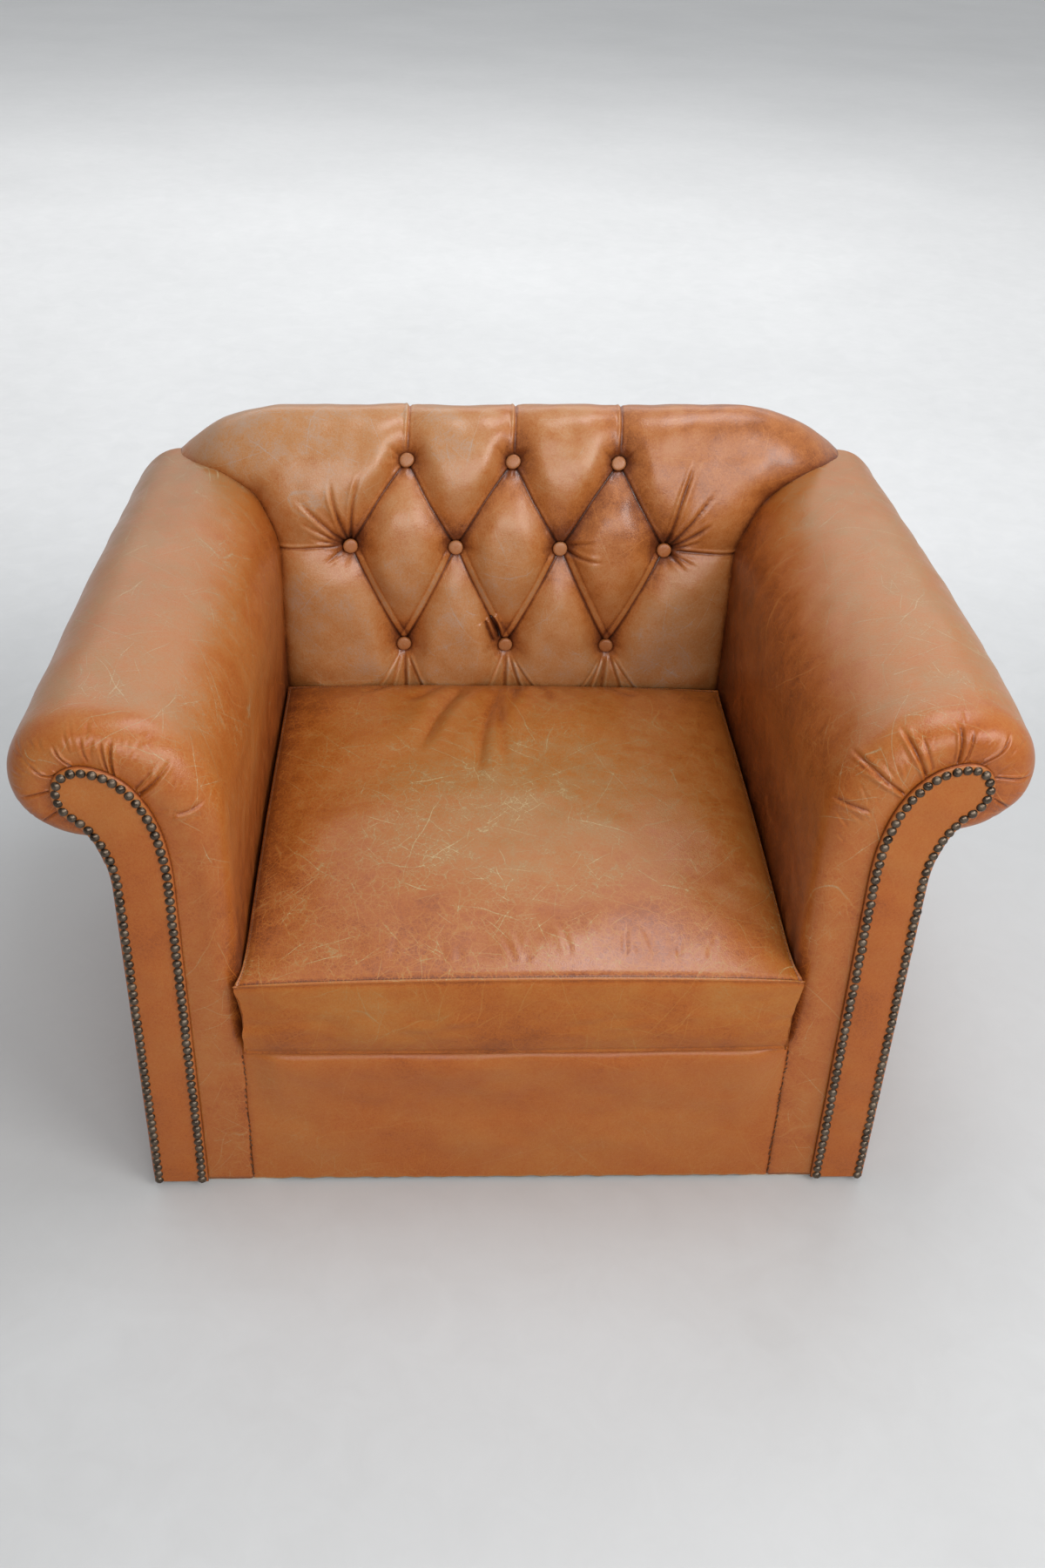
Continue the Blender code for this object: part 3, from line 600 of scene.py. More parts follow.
# ---------------------------------------------------------------- arms
class Arm:
    """The leather skin of one arm as columns across the roll (s) and rows from under the facing to the rear (t), both in mm over the skin."""

    FRONT = 5.0
    SPLIT = 116.0

    def __init__(self):
        self.prof = arm_profile()
        self.lens = length_along(self.prof)
        self.total = self.lens[-1]
        face = facing_outline()
        fl = length_along(face)

        def near(line, lens, x, z):
            return lens[np.argmin(np.hypot(line[:, 0] - x, line[:, 1] - z))]

        self.face = face
        self.keys_p = [0.0] + [near(self.prof, self.lens, *q) for q in ((321, 500), (470, 671), (549, 594), (470, 530))] + [self.total]
        self.keys_f = [0.0] + [near(face, fl, *q) for q in ((379, 470), (462, 626), (494, 596), (470, 552), (446, 505))]
        self.fine = np.concatenate([[0.0, 5.0], np.linspace(10, 430, 64, endpoint=False), np.linspace(430, self.total, 415)])

    def rows(self, s):
        P = at_lengths(self.prof, s)
        F = at_lengths(self.face, np.interp(s, self.keys_p, self.keys_f))
        gap = np.linalg.norm(F - P, axis=1)
        way = (F - P) / gap[:, None]
        low = smooth(205, 285, P[:, 1])
        roll = smooth(430, 620, s)
        end = 0.35 + 0.65 * smooth(self.total, self.total - 70, s)
        a = np.minimum(gap + 1.0, (6 + low * (26 + 26 * roll)))
        R = (5 + low * (25 + 19 * roll)) * end
        y0 = self.FRONT

        def row(inn, y):
            return np.column_stack([P[:, 0] + way[:, 0] * inn, np.zeros(len(s)) + y, P[:, 1] + way[:, 1] * inn])

        front = [row(a + (gap + 5.0 - a) * k, y0) for k in np.linspace(1, 0, 9)]
        u = np.linspace(1, 0, 35)[1:]
        e = 0.84
        for q in 0.5 * np.pi * (u * 0.55 + 0.45 * u * u * (3 - 2 * u)):
            front.append(row(a * (1 - max(math.cos(q), 0) ** e), y0 + R * (1 - math.sin(q) ** e)))
        for k in np.linspace(0, 1, 18)[1:]:
            front.append(row(0 * a, (y0 + R) * (1 - k) + self.SPLIT * k))
        rear = [row(0 * a, y) for y in np.linspace(self.SPLIT, REAR - 20, 44)[1:]]
        for q in np.radians(np.linspace(0, 90, 10)[1:]):
            rear.append(row(17 * (1 - math.cos(q)), REAR - 20 + 19.5 * math.sin(q)))
        g = np.array(front + rear)
        step = np.linalg.norm(np.diff(g, axis=0), axis=2)
        t = np.concatenate([np.zeros((1, len(s))), np.cumsum(step, axis=0)])
        n = normals(g)
        if n[len(front) + 10, len(s) // 2] @ np.array([-0.5, 0, 1.0]) < 0:
            n = -n
        return g, np.broadcast_to(s, t.shape), t, n, len(front)


def arm(side, word, mat, pleats):
    skin = Arm()
    r = np.random.default_rng(200 + side)
    small = []
    for _ in range(36):
        s0, t0 = r.uniform(500, 950), r.uniform(10, 46)
        ds, dt = r.normal(0, 7), r.uniform(12, 30)
        small.append(([(s0, t0), (s0 + ds, t0 + dt)], r.uniform(0.25, 0.7), r.uniform(1.4, 2.2)))

    def dress(g, S, t, n):
        h = 0.5 * waves(g, 190, 11 + side) + 0.3 * waves(g, 60, 21 + side)
        h = h * smooth(4, 30, t)
        bow = np.sin(np.pi * np.clip((g[..., 1] - 20) / 640, 0, 1))
        h += 2.0 * smooth(400, 470, g[..., 2]) * bow
        h -= 7.0 * smooth(150, 240, g[..., 2]) * smooth(500, 390, g[..., 2]) * (S < 520) * bow
        # plumper between the gathers round the front of the roll
        h += 2.2 * bump1(t - 34, 20) * smooth(470, 600, S) * (1 - smooth(skin.total - 60, skin.total, S))
        tone = np.zeros(h.shape)
        # painted shade in the valleys of the pleats and the small creases
        for line, depth, width in pleats:
            up, dark = crease(S, t, line, depth, width, 0.55, (0.06, 0.4))
            h += up
            tone -= 1.0 * dark
        for line, depth, width in small:
            up, dark = crease(S, t, line, depth, width, 0.6, (0.3, 0.4))
            h += up
            tone -= 0.45 * dark
        # painted sheen: the arm tops paler where they catch the light
        top = smooth(575, 668, g[..., 2])
        tone += 0.56 * top * smooth(40, 120, t) + 0.06 * top
        # painted shade on the front face right beside the facing's edge, up the inner side of the roll
        tone -= 0.35 * (1 - smooth(6, 22, t)) * smooth(430, 600, S)
        # painted shade on the inside faces: darker low down, towards the rear, and on the right arm, which faces away
        # from the light
        inside = smooth(400, 330, g[..., 0])
        tone -= inside * (0.60 * smooth(500, 340, g[..., 2]) * smooth(30, 90, t) + 0.35 * smooth(500, 640, g[..., 1]) + (0.5 if side > 0 else 0.05) * smooth(40, 130, t))
        # painted shade round the outer side and underside of the roll
        tone -= 0.35 * smooth(skin.total - 190, skin.total - 60, S)
        # painted shade in the gap beside the cushion at the arm's front corner
        tone -= 1.0 * smooth(226, 250, g[..., 2]) * smooth(385, 335, g[..., 2]) * smooth(337, 322, g[..., 0]) * smooth(80, 25, g[..., 1])
        wear = 0.8 + 0.3 * bump1(t - 60, 70) * smooth(420, 560, S) + 0.25 * inside
        p = g + n * h[..., None]
        p[..., 0] *= side
        return p, tone, wear

    g, S, t, n, nf = skin.rows(skin.fine)
    pf, tone_f, wear_f = dress(g[:nf], S[:nf], t[:nf], n[:nf])
    g, S, t, n, nf = skin.rows(skin.fine[::3])
    pr, tone_r, wear_r = dress(g[nf:], S[nf:], t[nf:], n[nf:])
    nr, nc = pr.shape[:2]
    width = pf.shape[1]
    start = nf * width
    faces = [list(f) for f in grid_faces(nf, width)]
    last = (nf - 1) * width
    for j in range(nc - 1):
        faces.append([last + 3 * j + k for k in range(4)] + [start + j + 1, start + j])
    faces += [list(f) for f in grid_faces(nr, nc, start=start)]
    verts = np.concatenate([pf.reshape(-1, 3), pr.reshape(-1, 3)])
    keep = []
    for f in faces:
        c = verts[f].mean(0)
        x = abs(c[0])
        if (x < 392 and c[1] > 705) or (x < 345 and c[1] > 60 and c[2] < 140) or (c[1] > 8.6 and c[2] < 10.6 and x < 430):
            continue
        keep.append(f)
    attrs = {"tone": np.concatenate([tone_f.ravel(), tone_r.ravel()]), "wear": np.concatenate([wear_f.ravel(), wear_r.ravel()])}
    obj = piece(word + "_arm_leather", verts, keep, mat, attrs, pick=((side * 470, 400, 671), (0, 0, 1)))
    return thicken(obj, 1.8)


def facing(side, word, mat):
    """Padded front board: rolled leather edge, slightly crowned face."""
    out = facing_outline()
    tip = int(np.argmax(out[:, 0]))
    n, m = 150, 12
    left = at_lengths(out[: tip + 1], np.linspace(0, length_along(out[: tip + 1])[-1] - 1.5, n))
    right = at_lengths(out[tip:], np.linspace(1.5, length_along(out[tip:])[-1], n))
    foot = np.linspace(right[-1], left[0], m + 2)[1:-1]
    loop = np.vstack([left, right, foot])
    total = len(loop)
    steps = ((1.2, 4.9, -1.2), (0.0, 4.2, -1.2), (-0.3, 2.6, -1.1), (0.1, 1.0, -0.7), (1.0, 0.0, -0.1), (2.4, -0.7, 0.1), (5.0, -1.0, -0.15))
    verts, tone = [], []
    for inset, y, shade in steps:
        ring = offset(loop, inset, True)
        verts.append(np.column_stack([ring[:, 0], np.full(total, y), ring[:, 1]]))
        tone.append(np.full(total, shade))
    faces = [list(f) for f in grid_faces(len(steps), total, close_v=True)]
    base = (len(steps) - 1) * total
    inner = verts[-1]
    grid = np.zeros((n - 1, m + 2), int)
    extra = []
    start = len(steps) * total
    for i in range(n - 1):
        l, r_ = i, 2 * n - 1 - i
        grid[i, 0], grid[i, -1] = base + l, base + r_
        if i == 0:
            grid[i, 1:-1] = [base + 2 * n + m - 1 - k for k in range(m)]
            continue
        for k in range(1, m + 1):
            c = k / (m + 1)
            q = inner[l] * (1 - c) + inner[r_] * c
            wide = np.linalg.norm(inner[l] - inner[r_])
            q = q + (0, -1.3 * math.sin(math.pi * c) * min(wide / 40, 1), 0)
            grid[i, k] = start + len(extra)
            extra.append(q)
    for i in range(n - 2):
        for k in range(m + 1):
            faces.append([grid[i, k], grid[i, k + 1], grid[i + 1, k + 1], grid[i + 1, k]])
    faces.append(list(grid[n - 2]) + [base + n, base + n - 1])
    faces.append(list(range(total)))
    verts = np.vstack(verts + [np.array(extra)])
    tone = np.concatenate(tone + [np.full(len(extra), -0.28)])
    front = verts[:, 1] < -0.5
    verts[:, 1] += 0.3 * waves(verts[:, [0, 2]], 60, 5 + side) * front
    tone = tone + (0.12 + 0.25 * smooth(400, 600, verts[:, 2]) + 0.07 * waves(verts[:, [0, 2]], 130, 7 + side)) * front
    verts[:, 0] *= side
    return piece(word + "_facing_leather", verts, faces, mat, {"tone": tone, "wear": np.full(len(verts), 0.3)}, 60)


def nails(side, word, mat):
    """A close row of separate domed nail heads along the facing's edge."""
    line = nail_line()
    total = length_along(line)[-1]
    count = int(round(total / 11.0)) + 1
    at = at_lengths(line, np.linspace(0, total, count))
    r = np.random.default_rng(31 + side)
    prof = [(5.4, 0.6), (5.5, 0.0), (5.4, -0.5), (4.95, -1.6), (4.05, -2.75), (2.7, -3.6), (1.25, -4.05)]
    seg = 14
    verts, faces = [], []
    ang = np.linspace(0, 2 * np.pi, seg, endpoint=False)
    for x, z in at:
        x, z = x + r.normal(0, 0.25), z + r.normal(0, 0.2)
        start = len(verts)
        tip = r.normal(0, 0.05, 2)
        size = r.uniform(0.975, 1.015)
        for rad, dy in prof:
            for a in ang:
                u, v = rad * size * math.cos(a), rad * size * math.sin(a)
                verts.append((side * (x + u), -1.15 + dy * size + u * tip[0] + v * tip[1], z + v))
        verts.append((side * x, -1.15 - 4.2 * size, z))
        verts.append((side * x, -0.5, z))
        for i in range(len(prof) - 1):
            for k in range(seg):
                m = (k + 1) % seg
                a0, b0 = start + i * seg, start + (i + 1) * seg
                faces.append((a0 + k, a0 + m, b0 + m, b0 + k))
        top = start + (len(prof) - 1) * seg
        for k in range(seg):
            m = (k + 1) % seg
            faces.append((top + k, top + m, start + len(prof) * seg))
            faces.append((start + m, start + k, start + len(prof) * seg + 1))
    return piece(word + "_nail_heads", np.array(verts), faces, mat)


def outside_arm(side, word, mat):
    """Flat outside panel, eased over its edges and tucked under the roll."""
    u = np.concatenate([[0, 2, 5, 9, 14], np.linspace(22, 771, 76), [779, 784, 788, 791, 793]])
    v = np.concatenate([[0, 1.5, 4, 8, 14], np.linspace(22, 502, 52), [510, 516, 521, 525, 527.5]])
    U, V = np.meshgrid(u, v, indexing="ij")
    edge = np.minimum(np.minimum(U, 793 - U), np.minimum(V, (527.5 - V) + 6))
    x = 443.8 + 4.0 * np.sqrt(np.clip(1 - (1 - np.clip(edge / 8.0, 0, 1)) ** 2, 0, 1))
    p = np.stack([x, 6.0 + U, BASE + V], -1)
    body = smooth(0, 60, edge)
    p[..., 0] += body * (1.2 + 0.8 * waves(p[..., 1:], 210, 40 + side) + 0.25 * waves(p[..., 1:], 70, 50 + side))
    # painted shade: darker where the edges turn in and under the overhang of the roll
    tone = -0.12 - 0.5 * (1 - smooth(0, 7, edge)) - 0.3 * smooth(474, 527, V) + 0.15 * waves(p[..., 1:], 260, 60)
    p[..., 0] *= side
    obj = piece(word + "_outside_arm_leather", p, grid_faces(*U.shape), mat, {"tone": tone, "wear": np.full(U.shape, 0.35)}, pick=((side * 448, 430, 270), (side, 0, 0)))
    return thicken(obj, 1.8)


# ---------------------------------------------------------------- tufted back
PITCH = 148.5
ROWS = ((683.0, (-1.0, 0.0, 1.0)), (561.0, (-1.5, -0.5, 0.5, 1.5)), (405.0, (-1.0, 0.0, 1.0)))
BUTTON_SINK = 16.5


class Back:
    """The stuffed back: x across, v in mm up the front, over the top and down behind."""

    def __init__(self):
        self.prof = np.vstack(
            [
                [[652.0, 214.0], [648.5, 330.0], [647.0, 430.0], [647.0, 500.0]],
                bezier((647.0, 500.0), (647.0, 590.0), (686.0, 731.0), (750.0, 731.0), 60),
            ]
        )
        self.lens = length_along(self.prof)
        self.v_top = self.lens[-1]
        self.turn = 78.0
        self.v_end = self.v_top + self.turn + 34.0
        self.buttons = [[(k * PITCH, self.v_of(z)) for k in ks] for z, ks in ROWS]

    def v_of(self, z):
        return float(np.interp(z, self.prof[:, 1], self.lens))

    def base(self, x, v):
        x, v = np.asarray(x, float), np.asarray(v, float)
        top = shoulder_top(x)
        drop = 8.0 + 41.0 * smooth(655, 735, top)
        apex = REAR - 1.0 - drop
        y = np.interp(v, self.lens, self.prof[:, 0])
        z = np.interp(v, self.lens, self.prof[:, 1])
        y = np.where(z > 500, 647.0 + (y - 647.0) * (apex - 647.0) / 103.0, y)
        z = np.where(z > 500, 500 + (z - 500) * (top - 500) / 231.0, z)
        a = np.clip((v - self.v_top) / self.turn, 0, 1) * np.pi / 2
        past = np.maximum(v - self.v_top - self.turn, 0)
        y = np.where(v > self.v_top, apex + drop * np.sin(a) - 0.04 * past, y)
        z = np.where(v > self.v_top, top - drop * (1 - np.cos(a)) - past, z)
        return np.stack([x + 0 * v, y, z], -1)

    def folds(self):
        """Pleat lines between the buttons, each as its two ends, upper first."""
        out = []
        for top, low in zip(self.buttons, self.buttons[1:]):
            for x, v in top:
                for xl, vl in low:
                    if abs(x - xl) < PITCH * 0.6:
                        out.append(((x, v), (xl, vl)))
        return out

    def relief(self, X, V):
        """Height of the tufted leather over the base: a stretched skin, relaxed, that the folds and buttons hold down."""
        dx = 4.0
        gx = np.arange(-480, 480.1, dx)
        gv = np.arange(0, self.v_end + dx, dx)
        A, B = np.meshgrid(gx, gv, indexing="ij")
        fixed = np.zeros(A.shape, bool)
        value = np.zeros(A.shape)

        def hold(mask, val):
            nonlocal fixed, value
            value = np.where(mask & fixed, np.minimum(value, val), np.where(mask, val, value))
            fixed = fixed | mask

        deep, mid = -25.0, -12.0
        for a, b in self.folds():
            d, t, _ = to_line(A, B, [a, b])
            hold(d < dx * 0.75, mid + (deep - mid) * np.abs(2 * t - 1) ** 2.6)
        for x, v in self.buttons[0]:
            d, t, _ = to_line(A, B, [(x, v), (x, self.v_top + 60)])
            hold(d < dx * 0.6, -2.0 + (deep + 2.0) * np.exp(-t * 7.0))
        for x, v in self.buttons[2]:
            d, t, _ = to_line(A, B, [(x, v), (x, 60)])
            hold(d < dx * 0.6, -9.0 + (deep + 9.0) * np.exp(-t * 5.0))
        for x, v in (self.buttons[1][0], self.buttons[1][-1]):
            d, t, _ = to_line(A, B, [(x, v), (math.copysign(345, x), v)])
            hold(d < dx * 0.6, -6.0 + (deep + 6.0) * np.exp(-t * 5.0))
        for row in self.buttons:
            for x, v in row:
                hold(np.hypot(A - x, B - v) < 11.0, deep)
        hold(B < 100, -9.0)
        hold(B > self.v_top + 6, 0.4)
        hold((np.abs(A) > 352) & (B < self.v_of(640.0)), -8.0)
        press = 0.021 * smooth(90, 170, B) * (1 - smooth(self.v_of(690.0), self.v_top, B)) * (1 - 0.72 * smooth(170, 270, np.abs(A)))
        h = np.where(fixed, value, 0.0)
        for _ in range(1500):
            q = np.pad(h, 1, mode="edge")
            h = np.where(fixed, value, (q[2:, 1:-1] + q[:-2, 1:-1] + q[1:-1, 2:] + q[1:-1, :-2] + press * dx * dx) / 4.0)
        h = np.where(h > 0, 7.0 * np.tanh(h / 7.0), h)
        for _ in range(2):
            q = np.pad(h, 1, mode="edge")
            h = 0.5 * h + 0.125 * (q[2:, 1:-1] + q[:-2, 1:-1] + q[1:-1, 2:] + q[1:-1, :-2])
        fx = np.clip((X - gx[0]) / dx, 1, len(gx) - 2.001)
        fv = np.clip((V - gv[0]) / dx, 1, len(gv) - 2.001)
        i, j = fx.astype(int), fv.astype(int)

        def weights(f):
            # quadratic blending, smooth from cell to cell
            return 0.5 * (0.5 - f) ** 2, 0.75 - f**2, 0.5 * (0.5 + f) ** 2

        i, j = np.rint(fx).astype(int), np.rint(fv).astype(int)
        wx, wv = weights(fx - i), weights(fv - j)
        out = 0
        for a in range(3):
            for b in range(3):
                out = out + wx[a] * wv[b] * h[i + a - 1, j + b - 1]
        return out


def inside_back(mat):
    b = Back()
    prof = arm_profile()
    rise = prof[: np.argmax(prof[:, 1]) + 1]
    mid, wide = 262.0, 472.0
    core = np.linspace(-mid, mid, 340) / wide
    u = np.concatenate([np.linspace(-1, -mid / wide, 33)[:-1], core, np.linspace(mid / wide, 1, 33)[1:]])
    v = np.concatenate([np.linspace(0, 130, 18, endpoint=False), np.arange(130, b.v_top + 12, 1.55), np.linspace(b.v_top + 14, b.v_end, 26)])
    U, V = np.meshgrid(u, v, indexing="ij")
    z = np.interp(V, b.lens, b.prof[:, 1])
    half = np.minimum(np.interp(np.minimum(z, 671), rise[:, 1], rise[:, 0]) + 16.0 + 40.0 * smooth(585, 668, z), 474.0)
    half = np.where(V > b.v_of(671.0), 474.0, half)
    X = U * wide
    X = np.where(np.abs(X) > mid, np.sign(X) * (mid + (np.abs(X) - mid) / (wide - mid) * (half - mid)), X)
    g = b.base(X, V)
    n = normals(g)
    if n[len(u) // 2, 100, 1] > 0:
        n = -n
    h = b.relief(X, V)
    # painted shade in the deep hollows and a painted highlight on the puffs; paler low down, painted light where the
    # lower back sits in shade
    tone = -0.7 * smooth(-3, -22, h) - 0.16 + 0.12 * smooth(-2, 6, h) + 0.5 * smooth(640, 480, g[..., 2])
    # painted shade on the diamonds just right of the middle
    tone -= 0.35 * smooth(40, 150, X) * smooth(205, 165, X) * smooth(665, 620, g[..., 2]) * smooth(440, 490, g[..., 2])
    # painted light and shade across the top: the upper left paler, the upper right darker
    tone += (0.18 * smooth(640, 700, g[..., 2]) + 0.25 * smooth(560, 640, g[..., 2])) * smooth(60, -120, X) - 0.28 * smooth(90, 230, X) * smooth(600, 660, g[..., 2])

    def fold(sd, along, lip, groove, w, shade, pale):
        nonlocal h, tone
        h = h + (lip * np.exp(-(((sd - 2.1 * w) / (1.25 * w)) ** 2)) - groove * np.exp(-((sd / w) ** 2)) - 0.4 * lip * np.exp(-(((sd + 2.6 * w) / (2 * w)) ** 2))) * along
        # the groove's darkness is painted shade and the lip's paleness a painted highlight
        tone = tone - shade * np.exp(-((sd / (0.95 * w)) ** 2)) * along + pale * np.exp(-(((sd - 2.1 * w) / (1.1 * w)) ** 2)) * along

    # pleats between buttons, the upper side folded over the lower
    for a, c in b.folds():
        d, t, s = to_line(X, V, [a, c])
        up = s if c[0] > a[0] else -s
        along = smooth(0.0, 0.12, t) * (1 - smooth(0.9, 1.0, t)) * (d < 40)
        fold(d * up, along, 0.7, 2.9, 1.5, 1.0, 0.12)
        # painted shade beside each fold
        tone = tone - 0.30 * np.exp(-d / 10.0) * along
        if a[1] < b.buttons[0][0][1] - 5:
            # the lower folds show a strip of the tucked leather along their upper side
            strip, rim = np.exp(-(((d * up - 6.5) / 3.4) ** 4)), np.exp(-(((d * up - 11.5) / 1.7) ** 2))
            h = h + (0.5 * strip - 0.7 * rim) * along
            # a painted highlight on the strip and painted shade along its rim
            tone = tone + (0.45 * strip - 0.4 * rim) * along
    for x, vb in b.buttons[0]:
        sd = X - x - 3.0 * np.sin((V - vb) / 60.0)
        fold(-sd, smooth(vb + 6, vb + 26, V) * (1 - smooth(b.v_top + 40, b.v_top + 100, V)), 1.9, 2.4, 1.9, 0.8, 0.3)
    for j, (x, vb) in enumerate(b.buttons[2]):
        for lean, w in (((0.03, 1.0), (0.42, 0.8), (-0.30, 0.7), (-0.62, 0.5)), ((0.0, 1.0), (0.36, 0.9), (-0.40, 0.5), (0.70, 0.5)), ((-0.05, 1.0), (0.38, 0.9), (-0.34, 0.8), (0.72, 0.6), (-0.6, 0.4)))[j]:
            sd = X - x - lean * (vb - V)
            along = (1 - smooth(vb - 26, vb - 8, V)) * smooth(30, 70, V) * w
            fold(sd, along, 1.9, 2.6, 2.2, 0.65, 0.5)
    for x, vb in (b.buttons[1][0], b.buttons[1][-1]):
        sg = math.copysign(1, x)
        sd = V - vb + 0.03 * (np.abs(X) - abs(x)) + 1.5 * np.sin(np.abs(X) / 23.0)
        along = smooth(abs(x) + 8, abs(x) + 26, np.abs(X)) * (X * sg > 0)
        fold(sd, along, 1.5, 2.2, 1.9, 0.85, 0.15)
    fans = {
        -1: ((84, 112, 4.4), (107, 104, 4.4), (135, 108, 4.0), (150, 84, 2.4), (165, 62, 2.0), (214, 46, 1.6)),
        1: ((102, 140, 5.4), (145, 84, 4.6), (126, 124, 3.2), (160, 56, 2.0), (222, 44, 2.6), (205, 54, 1.8)),
    }
    for x, vb in (b.buttons[1][0], b.buttons[1][-1]):
        sg = int(math.copysign(1, x))
        for angle, reach, depth in fans[sg]:
            a = math.radians(angle)
            ux, uv = -sg * math.cos(a), math.sin(a)
            line = [(x + 7 * ux, vb + 7 * uv), (x + 0.5 * reach * ux + 2 * sg, vb + 0.5 * reach * uv), (x + reach * ux, vb + reach * uv)]
            up, dark = crease(X, V, line, 0.8 * depth, 2.3, 0.6, (0.04, 0.45))
            # painted shade in the fans' creases
            h, tone = h + up, tone - 1.0 * dark
    extra = [
        ([(82, b.buttons[1][2][1] - 3), (105, b.buttons[1][2][1] - 10), (140, b.buttons[1][2][1] - 13)], 2.4, 2.4),
        ([(86, b.buttons[1][2][1] + 6), (106, b.buttons[1][2][1] + 12), (126, b.buttons[1][2][1] + 14)], 1.4, 2.4),
        ([(-66, b.buttons[1][1][1] + 10), (-52, b.buttons[1][1][1] + 30)], 1.2, 2.4),
        ([(66, b.buttons[1][2][1] + 10), (60, b.buttons[1][2][1] + 36)], 1.4, 2.6),
    ]
    x0, v0 = b.buttons[2][1]
    # a bunched fold beside the middle button
    for line, depth in (([(x0 - 26, v0 + 52), (x0 - 10, v0 + 44), (x0 - 18, v0 + 24), (x0 - 7, v0 + 10)], 6.5), ([(x0 - 33, v0 + 46), (x0 - 22, v0 + 36), (x0 - 27, v0 + 19), (x0 - 14, v0 + 8)], 5.0)):
        up, dark = crease(X, V, line, depth, 2.4, 0.9, (0.05, 0.15))
        # painted shade in the bunched fold
        h, tone = h + up, tone - 1.2 * dark
    for x, vb in b.buttons[0]:
        for angle, reach, depth in ((38, 34, 0.8), (148, 36, 0.9), (250, 30, 0.9), (290, 30, 0.8)):
            a = math.radians(angle)
            extra.append(([(x + 8 * math.cos(a), vb + 8 * math.sin(a)), (x + reach * math.cos(a), vb + reach * math.sin(a))], depth, 2.3))
    for line, depth, width in extra:
        up, dark = crease(X, V, line, depth, width, 0.7, (0.08, 0.5))
        # painted shade in the creases
        h, tone = h + up, tone - 0.7 * dark
    for i, row in enumerate(b.buttons):
        for j, (x, vb) in enumerate(row):
            dxx, dvv = X - x, V - vb
            r, th = np.hypot(dxx, dvv), np.arctan2(dvv, dxx)
            phase = 1.7 * i + 2.3 * j
            wrinkle = np.cos(9 * th + phase + 0.8 * np.sin(2 * th + phase))
            win = np.exp(-(((r - 19) / 9.0) ** 2))
            h = h + 0.4 * wrinkle * win
            # painted shade in the wrinkles round each button, in a ring at its rim and over its funnel
            tone = tone - 0.05 * (1 - wrinkle) * win - 0.6 * np.exp(-(((r - 10.6) / 2.0) ** 2)) - 0.12 * np.exp(-((r / 32) ** 2))
            # painted shade above each button and a painted highlight below it
            tone = tone - 0.46 * np.exp(-((dxx / 30) ** 2) - ((dvv - 19) / 30) ** 2) + 0.3 * np.exp(-((dxx / 13) ** 2) - ((dvv + 25) / 11) ** 2)
    h = h + 0.8 * waves(g, 150, 71) * smooth(-10, 3, h) + 0.3 * waves(g, 48, 72)
    h = np.where(np.abs(X) > 300, h * (1 - 0.7 * smooth(330, 470, np.abs(X))), h)
    p = g + n * h[..., None]
    # the edges roll away behind the arms
    gap, _, _ = to_line(np.abs(p[..., 0]), p[..., 2], rise[::4])
    inside = np.abs(p[..., 0]) > np.interp(np.minimum(p[..., 2], 670.9), rise[:, 1], rise[:, 0])
    inside &= p[..., 2] < 671.0
    gap = np.where(inside, -gap, gap)
    p[..., 1] += np.where(V < b.v_top, 8.0 * np.exp(-np.maximum(gap, 0) / 9.0) + 5.0 * smooth(55, 0, gap), 0.0) * (1 - smooth(455, 474, np.abs(X)))
    # painted shade where the back meets the arms
    tone -= (0.9 * np.exp(-np.maximum(gap, 0) / 4.0) + 0.25 * np.exp(-np.maximum(gap, 0) / 22.0)) * (V < b.v_top)
    low = smooth(385, 340, p[..., 2])
    p[..., 1] = p[..., 1] * (1 - low) + np.maximum(p[..., 1], 643.5) * low
    # a touch paler at the top; painted shade along the sides by the arms and low down by the seat
    tone += 0.05 * smooth(640, 720, g[..., 2]) - 0.35 * smooth(30, 0, half - np.abs(X)) * (V < b.v_of(671.0)) - 0.35 * smooth(400, 335, g[..., 2])
    wear = 0.45 + 0.2 * smooth(-2, 6, h)
    # close the form behind with ruled surfaces, so that it is one stuffed body
    nu, nv = U.shape
    faces = [list(f) for f in grid_faces(nu, nv)]
    verts = [p.reshape(-1, 3)]
    share = np.linspace(0, 1, nv)[:, None]
    chords = []
    for col in (0, nu - 1):
        a, c = p[col, 0], p[col, -1]
        start = nu * nv + len(chords) * nv
        chord = a * (1 - share) + c * share
        chord[0], chord[-1] = a, c
        chord[1:-1, 1] += 14 * np.sin(np.pi * share[1:-1, 0])
        chords.append(start)
        verts.append(chord)
        for k in range(nv - 1):
            faces.append([col * nv + k, col * nv + k + 1, start + k + 1, start + k])
    for k in range(nv - 1):
        faces.append([chords[0] + k, chords[0] + k + 1, chords[1] + k + 1, chords[1] + k])
    for k, row in ((0, 0), (nv - 1, nv - 1)):
        faces.append([c * nv + row for c in range(nu)] + [chords[1] + k, chords[0] + k])
    more = np.full(2 * nv, -0.6)
    attrs = {"tone": np.concatenate([tone.ravel(), more]), "wear": np.concatenate([wear.ravel(), 0 * more])}
    obj = piece("inside_back_leather", np.concatenate(verts), faces, mat, attrs)
    weld(obj)
    return obj, b


def weld(obj):
    bm = bmesh.new()
    bm.from_mesh(obj.data)
    bmesh.ops.remove_doubles(bm, verts=bm.verts, dist=2e-6)
    bmesh.ops.dissolve_degenerate(bm, edges=bm.edges, dist=1e-7)
    bmesh.ops.recalc_face_normals(bm, faces=bm.faces)
    bm.to_mesh(obj.data)
    bm.free()


